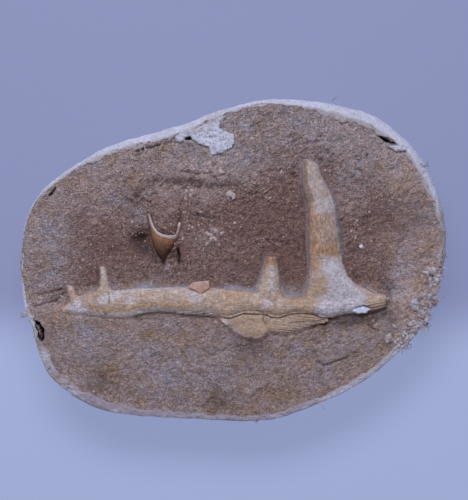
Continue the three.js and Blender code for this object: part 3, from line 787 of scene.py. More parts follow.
def rock_finish():
    sand = Finish("sandy_rock", SAND, 0.96)
    small = sand.patches(0.4, 0.12)
    calm = sand.mask("calm")
    worn = sand.patches(0.11, 0.2)
    softness = math_node(sand.tree, "ADD", sand.times(calm, 0.3), sand.times(worn, 0.4))
    grain = sand.softened(sand.grit(2.5), softness)
    streaks = sand.streaks((0.8, 1.2, 1.0), 1.1)
    coarse = sand.grit(0.6)
    sand.cover("warm", SAND_WARM)
    # The dug mask also holds painted shade in the SHADED spots and a painted contact shadow below the bones
    sand.cover("dug", SAND_DUG)
    sand.cover("bright", SAND_BRIGHT, 0.7)
    sand.cover(sand.broken("bloom", small, 0.8), SAND_BLOOM)
    sand.cover(sand.broken("ochre", small, 0.8), SAND_OCHRE)
    sand.shade(coarse, 0.78, 1.22)
    sand.shade(streaks, 0.88, 1.12)
    sand.shade(grain, 0.3, 1.7)
    sand.cover(sand.broken("pale", coarse, 1.3), SAND_PALE)
    sand.cover(sand.specks(0.8, 0.12, 0.5), SAND_PALE, 0.7)
    sand.cover(sand.specks(0.55, 0.12, 0.5), PIT_DARK, 0.5)
    sand.cover(sand.broken("residue", grain, 1.1), RESIDUE_WHITE)
    sand.cover(sand.broken("crust", grain, 1.3), CRUST_WHITE)
    # Darkens the rock by the dim mask, which also holds painted shadow under the jaw's front
    sand.shade(sand.mask("dim"), 1.0, 0.4)
    # Painted shade in cracks, pits, the slot and the deepest places
    sand.cover("shade_in_pits", PIT_DARK)
    # Black painted shade in the two darkest gaps
    sand.cover("gap_shade", GAP_SHADE_BLACK)
    height = math_node(sand.tree, "ADD", sand.grit(2.3, "Height"), streaks)
    height = math_node(sand.tree, "MULTIPLY", height, ramp(sand.tree, calm, 0.0, 1.0, 1.15, 0.6))
    return sand.done(height, 0.6)


def plaster_finish():
    plaster = Finish("rough_plaster", PLASTER_WHITE, 0.92, specular=0.25)
    grain = plaster.grit(1.2)
    plaster.cover(plaster.patches(0.22, 0.15), PLASTER_SAND, 0.14)
    plaster.cover(plaster.broken("sand", grain, 1.4), PLASTER_SAND)
    plaster.cover("ochre", PLASTER_OCHRE, 0.85)
    # Painted shade on the rim towards the bottom of the block
    plaster.cover("lower_rim_shade", PLASTER_SHADE_GREY)
    plaster.shade(grain, 0.84, 1.1)
    # Black painted shade where the plaster lines the two darkest gaps
    plaster.cover("gap_shade", GAP_SHADE_BLACK)
    plaster.cover(plaster.specks(0.9, 0.12, 0.36), PIT_DARK, 0.4)
    plaster.cover(plaster.specks(1.2, 0.3, 0.6), PIT_DARK, plaster.mask("porous"))
    return plaster.done(plaster.grit(1.1, "Height"), 0.6)


def bone_finish():
    bone = Finish("fossil_bone", BONE_TAN, 0.62, specular=0.35)
    mottle = bone.patches(0.7, 0.12)
    fibres = bone.streaks((0.16, 1.5, 0.6), 1.2)
    up_fang = bone.streaks((1.5, 0.35, 0.8), 1.1)
    bone.cover(bone.patches(0.18, 0.12), BONE_PALE)
    bone.cover("ochre", BONE_OCHRE, 0.75)
    bone.cover("enamel", blend(bone.tree, up_fang, ENAMEL_PALE, BONE_PALE))
    stained = ramp(bone.tree, up_fang, 0.0, 1.0, 0.45, 1.0)
    bone.cover("orange", ENAMEL_ORANGE, stained)
    bone.cover("facet", ENAMEL_BROWN, stained)
    bone.cover(bone.broken("brown", fibres, 0.9), ENAMEL_BROWN)
    bone.cover("chalk", BONE_CHALK, 0.92)
    # The lower margin's own cream, brightened with painted light where its rounded side is shaded
    bone.cover("lit_cream_margin", BONE_CREAM_LIT)
    bone.shade(bone.softened(fibres, bone.mask("fang")), 0.86, 1.12)
    bone.cover("orange", bone.shaded(up_fang, 0.7, 1.25))
    bone.shade(mottle, 0.86, 1.1)
    grain = bone.grit(1.3)
    bone.shade(bone.softened(grain, bone.times(bone.mask("fang"), 0.6)), 0.78, 1.2)
    lines = bone.times(bone.effect("hairlines", "Mask", Scale=0.16), bone.mask("crazed"))
    pores = bone.times(bone.specks(1.15, 0.2, 0.42), bone.mask("pores"))
    bone.cover(lines, BONE_BROWN, 0.5)
    bone.cover(pores, BONE_BROWN, 0.75)
    bone.cover(bone.broken("sand", grain, 1.1), SAND_WARM)
    # Painted shade on the fangs' sides
    bone.cover("flank", BONE_SIDE_SHADE)
    # Painted shade in the cracks
    bone.cover("crack", CRACK_SHADE)
    shine = ramp(bone.tree, bone.mask("enamel"), 0.0, 1.0, 0.66, 0.4)
    return bone.done(bone.grit(1.3, "Height"), 0.28, roughness=shine)


def horn_finish():
    horn = Finish("hollow_fang_enamel", HORN_BROWN, 0.3, specular=0.5)
    horn.cover("deep", HORN_DARK)
    horn.cover("orange", ENAMEL_ORANGE)
    horn.shade(horn.streaks((1.2, 0.2, 1.0), 1.0), 0.8, 1.15)
    horn.cover("rim", HORN_RIM)
    gloss = ramp(horn.tree, horn.mask("rim"), 0.0, 1.0, 0.28, 0.6)
    return horn.done(horn.effect("drawn_streaks", "Height", Scale=1.4), 0.1, roughness=gloss)


def chip_finish():
    chip = Finish("pink_bone_chip", CHIP_PINK, 0.55, specular=0.35)
    mottle = chip.patches(0.7, 0.14)
    chip.cover(mottle, BONE_PALE, 0.4)
    chip.shade(mottle, 0.92, 1.06)
    chip.cover(chip.effect("hairlines", "Mask", Scale=0.3), BONE_BROWN, 0.4)
    return chip.done(chip.effect("drawn_streaks", "Height", Scale=1.2), 0.2)


def putty_finish():
    putty = Finish("white_filler", PUTTY_WHITE, 0.8, specular=0.3)
    clouds = putty.patches(0.6, 0.14)
    putty.cover(clouds, PLASTER_WHITE)
    putty.shade(clouds, 0.94, 1.03)
    return putty.done(putty.grit(1.2, "Height"), 0.25)


def crumb_finish(name, dark, middle, pale):
    """Crumbs, each with its own tone from dark to pale."""
    crumb = Finish(name, dark, 0.94)
    tone = crumb.mask("tone")
    crumb.cover(ramp(crumb.tree, tone, 0.0, 0.5), middle)
    crumb.cover(ramp(crumb.tree, tone, 0.55, 1.0), pale)
    crumb.shade(crumb.grit(1.8), 0.8, 1.15)
    return crumb.done(crumb.grit(2.0, "Height"), 0.3)


def fibre_finish():
    fibre = Finish("burlap_fibre", FIBRE_BROWN, 0.85)
    fibre.cover(fibre.patches(0.08, 0.1), SAND_PALE)
    return fibre.done(fibre.grit(3.0, "Height"), 0.1)


def floor_finish():
    """A matt floor with a faint glow of painted light, its colour and glow both brighter near the viewer."""
    floor = Finish("pale_floor", FLOOR_FAR, 0.9, specular=0.1)
    along = node(floor.tree, "ShaderNodeSeparateXYZ", {"Vector": floor.place}).outputs["Y"]
    near = ramp(floor.tree, along, GLOW_STARTS, GLOW_ENDS)
    floor.cover(near, FLOOR_NEAR)
    floor.tree.links.new(blend(floor.tree, near, GLOW_FAR, GLOW_NEAR), floor.surface.inputs["Emission Color"])
    floor.surface.inputs["Emission Strength"].default_value = 1
    return floor.done(floor.grit(0.8, "Height"), 0.02)


ROCK = rock_finish()
PLASTER = plaster_finish()
BONE = bone_finish()


# Bones


def fang_share(x, y):
    """How far across the front fang a point lies, from 0 at its left edge to 1 at its right edge."""
    at, left, right = np.array(FANG_EDGES).T
    low = np.interp(y, at, left)
    return (x - low) / (np.interp(y, at, right) - low)


def all_cracks(x, y):
    lines = [on_line(x, y, JAW_CRACK, 0.26)]
    lines += [0.75 * on_line(x, y, line, 0.22) for line in FINE_CRACKS]
    return np.maximum.reduce(lines)


def on_flake(x, y):
    """Which points lie below the long crack, on the flake."""
    across, up = np.array(JAW_CRACK).T
    return (x > across[0] - 1) & (x < across[-1]) & (y < np.interp(x, across, up))


def fang_zones(x, y, uneven):
    """The front fang's orange shaft, grey band, brown facet, grey-white root and painted shade on its left
    side.
    """
    level = y + 0.8 * uneven
    across = fang_share(x + 0.4 * uneven, y)
    even_across = fang_share(x, y)
    inside = in_zone(x, y, FRONT_FANG_ZONE)
    shaft = inside * smooth(level, *SHAFT_STARTS) * (1 - smooth(level, *SHAFT_ENDS))
    shaft *= 1 - 0.55 * smooth(across, 0.55, 0.85) * smooth(level, 6, 11)
    left_strip = inside * smooth(level, *STRIP_STARTS) * smooth(0.3 - across, 0, 0.12)
    rich = 0.62 + 0.4 * hump(y, RICHEST_ORANGE, 2.6) + 0.4 * smooth(0.4 - across, 0, 0.25)
    band = inside * smooth(level, *BAND_STARTS) * (1 - smooth(level, *BAND_ENDS)) * smooth(across, 0.25, 0.4)
    limit = np.interp(y, *np.array(ROOT_LIMIT).T)
    root = smooth(x + 1.8 * uneven - limit, -1.4, 3) * (1 - smooth(level, *ROOT_ENDS))
    root *= (1 - smooth(x, 54, 58.5)) * (x > 33) * ~on_flake(x, y)
    root *= 0.95 * (1 - 0.4 * smooth(uneven, 0.1, 0.6)) * (1 - 0.8 * on_line(x, y, ROOT_CREAM, 1.1))
    right_edge = inside * smooth(even_across, 0.86, 0.95) * smooth(y, -4, 2)
    return {
        "orange": np.maximum(shaft * rich, 0.8 * left_strip),
        "chalk": root + 0.32 * band + 0.45 * right_edge,
        "facet": inside * smooth(level, *FACET_STARTS) * smooth(0.36 - across, 0, 0.12),
        "enamel": inside * smooth(level, *ENAMEL_STARTS),
        # Painted shade on the fang's left side
        "flank": inside * smooth(0.12 - even_across, 0, 0.08) * 0.35,
    }


def bone_masks(points):
    """Where the bone is chalky, ochre, enamelled, worn, cracked or dusty, and painted shade in cracks and on
    fangs' sides.
    """
    x, y, z = points.T
    uneven = layered(points, (1, 3), (0.5, 1.1))
    fang = fang_zones(x, y, uneven)
    second = in_zone(x, y, SECOND_FANG_ZONE)
    hind = in_zone(x, y, HIND_ZONE)
    flake = on_flake(x, y)
    jaw = ~in_zone(x, y, FRONT_FANG_ZONE) & ~second & ~hind & ~flake
    worn_second = second * smooth(y + 0.8 * uneven, -5, 0)
    streak = second * hump(x, 16.4, 1.2) * (1 - worn_second)
    margins = 1.1 * on_line(x, y, LOWER_MARGIN, 1.1) + 0.8 * on_line(x, y, UPPER_MARGIN, 0.8)
    pale_margin = 0.8 * on_line(x, y, PALE_MARGIN, 0.45)
    torn = 0.8 * on_line(x, y, TORN_END, 1.7) + 0.7 * on_line(x, y, TORN_MARGIN, 0.8)
    ochre = jaw * (0.3 + 0.6 * uneven) + on_line(x, y, OCHRE_STRIP, 1.7) + flake * (0.85 + 0.5 * uneven)
    chalk = fang["chalk"] + 0.5 * streak + jaw * (0.75 * spots(x, y, CHALKY_JAW) + margins + pale_margin)
    chalk += flake * (0.08 + 0.7 * on_line(x, y, FLAKE_EDGE, 0.8)) + 0.12 * hind
    chalk += 0.3 * smooth(uneven, 0.2, 0.7) * ~second * ~flake
    fang_root = in_zone(x, y, FANG_AND_ROOT_ZONE) * smooth(y, -20, -14)
    return {
        "chalk": chalk * (1 - 0.9 * np.minimum(torn, 1)) + pale_margin,
        "ochre": ochre + 0.6 * spots(x, y, OCHRE_JAW),
        "enamel": fang["enamel"] + 0.7 * worn_second,
        "fang": np.where(flake, 0.8 * (1 - smooth(x, 8, 16)), fang_root),
        # Cream of the lower margin, brightened with painted light
        "lit_cream_margin": 0.75 * on_line(x, y, LOWER_MARGIN, 0.8) * (0.8 + 0.8 * uneven) * ~flake,
        "orange": fang["orange"] + worn_second,
        "facet": fang["facet"] + 0.35 * worn_second * smooth(uneven, -0.1, 0.4),
        "brown": torn + 0.5 * spots(x, y, BROWN_END) + flake * 0.4 * smooth(x, 20, 28),
        "crazed": np.where(jaw, 0.5 + uneven, 0.1),
        "pores": spots(x, y, PORES) + 0.45,
        "sand": smooth(BED + 1.6 + 0.8 * uneven - z, 0, 1.2) * 0.6,
        # Painted shade on the front fang's left side and the second fang's right side
        "flank": fang["flank"] + 0.6 * on_line(x, y, SECOND_FANG_SHADE_LINE, 0.5) * second,
        # Painted shade along the cracks
        "crack": all_cracks(x, y),
    }


def bone_relief(points):
    """How far the bone's surface stands out, in mm."""
    x, y, _ = points.T
    relief = layered(points, (0.26, 7), (0.2, 2.6), (0.1, 1.1))
    relief -= 0.55 * all_cracks(x, y) + 0.35 * spots(x, y, PORES) * smooth(rough(points, 1.3, 5), 0.1, 0.4)
    layers = (x > -41) & (x < -8) & (y < -22)
    relief += layers * 0.16 * np.sin(8.5 * (y - 0.08 * x))
    wedge = smooth(x, 53, 57) * smooth(-15.5 - y, 0, 1)
    relief += wedge * (0.16 * np.sin(5.2 * (y - 0.2 * (x - 50))) - 0.25)
    in_fang = in_zone(x, y, FANG_SHAFT_ZONE)
    relief += in_fang * 0.35 * hump(fang_share(x, y), 0.33, 0.1) * smooth(y, 20, 26)
    relief += in_fang * 0.07 * np.sin(9 * x + 2 * rough(points, 4))
    return relief + on_flake(x, y) * smooth(x, 12, 22) * 0.14 * np.sin(6 * (y + 0.1 * x))


def raised_to_crack(bm):
    """Lifts the rounded margins on both sides of the long crack to one level."""
    points = places(bm)
    x, y, z = points.T
    near = 1 - smooth(from_line(x, y, JAW_CRACK), 1.5, 5)
    near *= smooth(z, BED - 0.4, BED + 0.4) * smooth(x, -7.5, -4) * (1 - smooth(x, 38, 43))
    level = BED + FLUSH_LEVEL + 0.25 * rough(points, 4)
    points[:, 2] += np.maximum(level - z, 0) * near
    placed(bm, points)


def blunted(bm):
    """Broadens the front fang's tip, which wear has blunted."""
    points = places(bm)
    x, y, _ = points.T
    growth = 0.4 * smooth(y, 37, 40.5) + 0.5 * smooth(y, 40.5, 42.4)
    points[:, 0] += np.where(x > 20, (x - FANG_TIP_X) * growth, 0)
    placed(bm, points)


def joined(bm, other):
    """Adds a bmesh's shape to another's."""
    mesh = bpy.data.meshes.new("joined")
    other.to_mesh(mesh)
    other.free()
    bm.from_mesh(mesh)
    bpy.data.meshes.remove(mesh)


def whole_jaw():
    """The jaw, its flake and its teeth as one even mesh, closed over the gaps between them."""
    bm = node_copy("jaw_bone", "jaw_flake")
    closer = node_copy("jaw_flake")
    bmesh.ops.translate(closer, vec=(-FLAKE_SPREAD * MM, CRACK_CLOSING * MM, 0), verts=closer.verts)
    joined(bm, closer)
    for name in PARTINGS:
        tooth = node_copy(name)
        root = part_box(name)[0].y + 0.05 * MM
        for vert in tooth.verts:
            if vert.co.y < root:
                vert.co.y -= ROOT_OVERLAP * MM
        joined(bm, tooth)
    under_filler = node_copy("filler_blob")
    middle = sum((vert.co for vert in under_filler.verts), Vector()) / len(under_filler.verts)
    spread = Matrix.Translation(middle - Vector((0, 0, MM))) @ Matrix.Diagonal((1.3, 1.6, 1, 1))
    bmesh.ops.transform(under_filler, matrix=spread @ Matrix.Translation(-middle), verts=under_filler.verts)
    joined(bm, under_filler)
    even = even_mesh(bm, BONE_CELL, 2)
    raised_to_crack(even)
    blunted(even)
    pushed(even, bone_relief(places(even)))
    for line, _, _ in PARTINGS.values():
        geometry = [*even.verts, *even.edges, *even.faces]
        bmesh.ops.bisect_plane(even, geom=geometry, plane_co=(0, line * MM, 0), plane_no=(0, 1, 0))
    return even


def bone_at(point):
    """Which bone a place belongs to."""
    for name, (line, left, right) in PARTINGS.items():
        if point.y > line * MM and left * MM < point.x < right * MM:
            return name
    return "jaw_flake" if on_flake(point.x / MM, point.y / MM) else "jaw_bone"


def jaw_and_teeth(whole):
    """The whole jaw parted into its bones, which meet without a visible seam."""
    for name in ["jaw_bone", "jaw_flake", *PARTINGS]:
        bone = whole.copy()
        others = [face for face in bone.faces if bone_at(face.calc_center_median()) != name]
        bmesh.ops.delete(bone, geom=others, context="FACES")
        before = set(bone.faces)
        bmesh.ops.holes_fill(bone, edges=open_edges(bone), sides=0)
        caps = [index for index, face in enumerate(bone.faces) if face not in before]
        made = piece(bone, f"fossil_{name}", BONE, [name], bone_masks)
        for index in caps:
            made.data.polygons[index].use_smooth = False


def small_bone_chip():
    bm = even_mesh(node_copy("bone_chip"), SMALL_CELL, 4)
    points = places(bm)
    low = points[:, 2].min()
    points[:, 2] = low + CHIP_FLATTENING * (points[:, 2] - low) - CHIP_SINKING
    placed(bm, points)
    pushed(bm, layered(points, (0.15, 2.5), (0.06, 0.9)))
    piece(bm, "fossil_bone_chip", chip_finish(), ["bone_chip"])


def loose_hollow_fang():
    """The glossy hollow fang, its broken rim pale and its right prong shorter than its left."""
    bm = even_mesh(node_copy("hollow_fang"), SMALL_CELL, 2)
    geometry = [*bm.verts, *bm.edges, *bm.faces]
    corner = (HOLLOW_FANG_CORNER[0] * MM, HOLLOW_FANG_CORNER[1] * MM, 0)
    bmesh.ops.bisect_plane(bm, geom=geometry, plane_co=corner, plane_no=(0.4, 0.92, 0), clear_outer=True)
    bmesh.ops.holes_fill(bm, edges=open_edges(bm), sides=0)
    pushed(bm, layered(places(bm), (0.12, 3), (0.06, 1)))
    piece(bm, "fossil_hollow_fang", horn_finish(), ["hollow_fang"], horn_masks)


def horn_masks(points):
    """Where the hollow fang's rim is broken, and where its enamel is orange or darkest."""
    x, y, _ = points.T
    uneven = layered(points, (1, 2.4), (0.5, 0.9))
    off = from_line(x, y, BROKEN_RIM)
    width = 0.75 + 0.5 * spots(x, y, THICKEST_RIM) + 0.25 * uneven
    return {
        "rim": 1 - smooth(off, width, width + 0.45),
        "orange": 0.8 * hump(off, 1.9, 1.3),
        "deep": 1 - smooth(y + 1.5 * uneven, 0.5, 8.5),
    }


def white_filler():
    bm = spread_out(even_mesh(node_copy("filler_blob"), SMALL_CELL, 2), FILLER_SPREAD, FILLER_SHIFT)
    pushed(bm, layered(places(bm), (0.4, 1.8), (0.15, 0.7)))
    piece(bm, "white_filler", putty_finish(), ["filler_blob"])


# Rock and plaster


def rim_line():
    """Directions all round the block, and the reach of the line between rock and rim in each."""
    edge = block_edge(JACKET_POINTS)
    turn = np.arctan2(edge[:, 1], edge[:, 0])
    reach = np.hypot(edge[:, 0], edge[:, 1]) - edge[:, 2]
    order = np.argsort(turn)
    return turn[order], reach[order]


# Worked out once, for it is asked for often
RIM_TURNS, RIM_REACHES = rim_line()


def past_rim_line(x, y):
    """How far each place lies outside the line between rock and rim."""
    return np.hypot(x, y) - np.interp(np.arctan2(y, x), RIM_TURNS, RIM_REACHES, period=2 * math.pi)


def dug(x, y):
    """How far a place lies in the hollow dug above the jaw."""
    ledge = np.interp(x, *np.array(LEDGE).T)
    jaw_top = np.interp(x, *np.array(JAW_TOP).T)
    ends = smooth(DUG_HALF_LENGTH - np.abs(x), 0, DUG_END_FADE)
    steep = smooth(x, -40, -34) * (1 - smooth(x, 0, 6))
    wall = steep * smooth(ledge - y, -1, 4) + (1 - steep) * smooth(ledge - y, -7, 16)
    return smooth(y - jaw_top, -4, 3) * wall * ends


def rock_relief(points, to_bone):
    """Height of the rock's face at places, given their distance from the bone."""
    x, y, z = points.T
    flat = points * FLAT
    hollow = dug(x + 2.5 * rough(flat, 9), y + 2.5 * rough(flat, 9, 40))
    height = FACE + CROWN_RISE * (1 - (x / CROWN_HALF[0]) ** 2 - (y / CROWN_HALF[1]) ** 2)
    height -= DUG_DEPTH * hollow
    for *where, rise in PITS:
        height += rise * spot(x, y, *where)
    for turn_x, turn_y, phase, swing in RIPPLES:
        height += 0.5 * swing * np.sin(turn_x * x + turn_y * y + phase)
    rugged = 0.45 + 0.6 * smooth(rough(flat, 19, 3), -0.3, 0.5) + 0.45 * hollow + 0.5 * smooth(y, 25, 45)
    height += 0.55 * rough(flat, 14) + rugged * layered(flat, (0.55, 5.5), (0.65, 2.6))
    slanted = np.stack([0.8 * x + 0.6 * y, 2.2 * (0.8 * y - 0.6 * x), z * 0], axis=1)
    height += rugged * (0.55 * rough(slanted, 2.1) + 0.6 * rough(flat, 1.2))
    for line in ROCK_CRACKS:
        height -= 1.1 * on_line(x + 0.5 * rough(flat, 2), y + 0.5 * rough(flat, 2, 7), line, 0.5)
    for line in LAYER_CRACKS:
        height -= 0.8 * on_line(x, y + 0.3 * rough(flat, 1.6), line, 0.3)
    height -= 4 * on_line(x, y, PIT_SLOT, 0.55)
    at_rim = 1 - smooth(0.8 * rough(flat, 3) - past_rim_line(x, y), 0.2, 3.2)
    height += (RIM - 0.3 - height) * 0.85 * at_rim
    torn = layered(flat, (0.7, 2.2), (0.5, 0.9))
    for line, width, tear in zip(RIM_GAPS, RIM_GAP_WIDTHS, RIM_GAP_TEARS):
        gap = from_line(x + 0.6 * tear * rough(flat, 3, 11), y + 0.8 * tear * rough(flat, 3, 17), line)
        height -= RIM_GAP_DEPTH * smooth(width * (1 + tear * torn) - gap, 0, 0.5)
    crust = spots(x, y, CRUST)
    lip = BED + 0.5 + 0.5 * crust + 0.4 * rough(flat, 1.4)
    lip -= (1.8 - 1.3 * crust) * np.maximum(to_bone - 0.5, 0)
    groove = 0.7 * hump(to_bone, 0.7, 0.5) * smooth(height, BED + 0.6, BED + 1.6)
    return np.maximum(height - groove, np.minimum(lip, FACE))


def round_hollow_fang(points, height):
    """Rock cleared from under the hollow fang's wall, and rock that fills its inside."""
    x, y, _ = points.T
    at, middle_x, half, middle = np.array(FANG_BED).T
    half = np.interp(y, at, half)
    middle = np.interp(y, at, middle)
    off = np.abs(x - np.interp(y, at, middle_x)) - half
    bed = smooth(0.3 - off, 0, 0.5) * smooth(y, -1.6, -0.6) * (1 - smooth(y, 17, 21))
    height = height + (np.minimum(height, middle - 1.2) - height) * bed
    share = np.clip((off + half) / np.maximum(half - FANG_WALL, 0.1), 0, 1)
    fill = 0.86 * np.maximum(half - FANG_WALL, 0) * np.sqrt(1 - share**2)
    fill = fill * np.interp(y, *np.array(FANG_FILLING).T) + 0.5 * rough(points * FLAT, 1.6)
    inside = smooth(-FANG_WALL - off, -0.2, 0.4) * smooth(y, 3, 5) * (1 - smooth(y, 19, 23))
    return height + (middle + fill - height) * inside


def bone_tree(whole):
    """A tree of the bones' places seen from above."""
    tree = kdtree.KDTree(len(whole.verts))
    for vert in whole.verts:
        tree.insert((vert.co.x, vert.co.y, 0), 0)
    tree.balance()
    return tree


def from_bone(tree, x, y):
    """Distance of each place from the bones, seen from above."""
    return np.array([tree.find((px * MM, py * MM, 0))[2] for px, py in zip(x.tolist(), y.tolist())]) / MM


def sandy_rock(tree):
    """The rock: a fine grid cut to the rim line, raised to its relief and closed below."""
    bm = bmesh.new()
    cells = [round(side / ROCK_CELL) for side in ROCK_GRID]
    bmesh.ops.create_grid(bm, x_segments=cells[0], y_segments=cells[1], size=0.5)
    bmesh.ops.scale(bm, vec=(ROCK_GRID[0] * MM, ROCK_GRID[1] * MM, 1), verts=bm.verts)
    outside = past_rim_line(*places(bm).T[:2]) > ROCK_OVERLAP
    bmesh.ops.delete(bm, geom=[vert for vert, out in zip(bm.verts, outside) if out], context="VERTS")
    points = places(bm)
    to_bone = from_bone(tree, points[:, 0], points[:, 1])
    points[:, 2] = round_hollow_fang(points, rock_relief(points, to_bone))
    placed(bm, points)
    surface = BVHTree.FromBMesh(bm)
    skirt = bmesh.ops.extrude_edge_only(bm, edges=open_edges(bm))["geom"]
    for vert in of_kind(skirt, bmesh.types.BMVert):
        vert.co.z = ROCK_FLOOR * MM
    bmesh.ops.holes_fill(bm, edges=open_edges(bm), sides=0)
    bmesh.ops.recalc_face_normals(bm, faces=bm.faces)
    piece(bm, "sandy_rock", ROCK, ["rock_matrix"], lambda points: rock_masks(points, tree))
    return surface


def rock_masks(points, tree):
    """Where the rock is dug, stained, bloomed or dusted white, and painted shade in pits, cracks, gaps and
    below the bones.
    """
    x, y, z = points.T
    flat = points * FLAT
    uneven = layered(flat, (1, 8), (0.5, 3))
    to_bone = from_bone(tree, x, y)
    crust = spots(x, y, CRUST)
    residue_edge = smooth(to_bone + 0.5 * uneven, 0.3 + 1.6 * crust, 0.8 + 2.2 * crust)
    halo = 0.7 * spots(x, y, HALO) * (1 - smooth(to_bone + uneven, 1, 3.4))
    # Painted contact shadow on the rock just below the bones' lower edge
    contact_shadow = 0.6 * (1 - smooth(to_bone, 0.3, 1.3)) * smooth(-16 - y, 0, 3) * (1 - 0.6 * smooth(x, 0, -40))
    bent_x = x + 0.4 * rough(flat, 2)
    bent_y = y + 0.4 * rough(flat, 2, 7)
    # Painted shade in cracks, rim gaps, the slot, the deepest places and under the hollow fang's tip
    pits = [0.6 * on_line(bent_x, bent_y, line, 0.34) for line in ROCK_CRACKS + LAYER_CRACKS]
    in_gap = 0.9 * smooth(24.6 - z, 0, 1.5)
    pits += [in_gap * (1 - smooth(from_line(x, y, line), 2, 3)) for line in RIM_GAPS]
    pits += [on_line(x, y, PIT_SLOT, 0.5), 0.6 * smooth(20.6 - z, 0, 3), spots(x, y, PIT_SHADE_UNDER_TIP)]
    crumbling = smooth(x, 66, 74) * smooth(-y, 9, 16)
    # Darker towards the bottom, in the DIMMED spots and towards the right; the line under the jaw adds
    # painted shadow
    dim = 0.4 * smooth(-y, 17, 26) + 0.4 * spots(x, y, DIMMED) * (0.9 + 0.6 * uneven)
    dim = (dim + 0.2 * smooth(x, 60, 72)) * (1 - crumbling)
    dug_zone = dug(x + 2 * uneven, y + 3 * uneven - 4 + 5 * hump(x, -8, 16))
    return {
        # Darker sand of the dug hollow, with painted shade in the SHADED spots and painted contact shadow
        # below the bones
        "dug": 0.75 * dug_zone + 0.6 * spots(x, y, SHADED) * (0.8 + uneven) + 0.9 * contact_shadow,
        "bloom": spots(x, y, BLOOM) * (0.8 + uneven) + 0.5 * smooth(y, 28, 50) + 0.25 * smooth(-x, 55, 75),
        "ochre": spots(x, y, OCHRE) * (0.9 + uneven),
        "pale": spots(x, y, PALE) * smooth(layered(flat, (1, 2.4, 3), (0.6, 0.9, 9)), -0.1, 0.2),
        "residue": np.maximum(spots(x, y, RESIDUE) * (1 - residue_edge), halo * (0.7 + 0.6 * uneven)),
        "warm": 0.5 + layered(flat, (0.9, 6, 21), (0.4, 2.2, 3)),
        "bright": spots(x, y, BRIGHT) * (0.9 + 0.6 * uneven),
        "calm": np.maximum(smooth(-y, 15, 24), smooth(x, 58, 74)) + 0.3 * smooth(-x, 60, 80),
        "dim": dim + 0.75 * on_line(x, y, JAW_SHADOW_LINE, 2.2),
        "crust": crust * (1 - smooth(to_bone + 0.9 * uneven, 0.6, 1.5)),
        "shade_in_pits": np.maximum.reduce([*pits, 0.7 * spots(x, y, PIT_SHADE)]),
        # Black painted shade in the two darkest gaps
        "gap_shade": smooth(24.8 - z, 0, 1) * (1 - smooth(from_dark_gap(x, y), 1.6, 2.4)),
    }


def jacket_profile(level, width, y):
    """Height and distance inside the edge of a ring of the jacket, where the rim has a width."""
    upper = smooth(y, -30, 25)
    shoulder = SHOULDER_LEFT + (1 - SHOULDER_LEFT) * upper
    if level < len(FLANK_LEVELS):
        height = FLANK_LEVELS[level]
        inset = np.interp(height, *np.array(FLANK).T)
        lean = RIM_LEAN * upper * smooth(height, SHOULDER_HEIGHT, RIM)
        return height - lean, inset * (shoulder if height > SHOULDER_HEIGHT else 1)
    level -= len(FLANK_LEVELS)
    if level < len(RIM_SHARES):
        share = RIM_SHARES[level]
        start = FLANK[-1][1] * shoulder
        height = RIM + RIM_BULGE * math.sin(math.pi * share) - RIM_LEAN * upper * (1 - share) ** 2
        return height, start + (width - start) * share
    return INNER_LEVELS[level - len(RIM_SHARES)], width


def ring_stack(rings):
    """Rings of the jacket's points, one unit apart in height, closed at both ends."""
    bm = bmesh.new()
    bmesh.ops.create_circle(bm, cap_ends=True, segments=JACKET_POINTS, radius=1)
    edges = list(bm.edges)
    for _ in range(rings - 1):
        made = bmesh.ops.extrude_edge_only(bm, edges=edges)["geom"]
        bmesh.ops.translate(bm, vec=(0, 0, 1), verts=of_kind(made, bmesh.types.BMVert))
        edges = [edge for edge in of_kind(made, bmesh.types.BMEdge) if edge.is_boundary]
    bmesh.ops.holes_fill(bm, edges=edges, sides=0)
    return bm


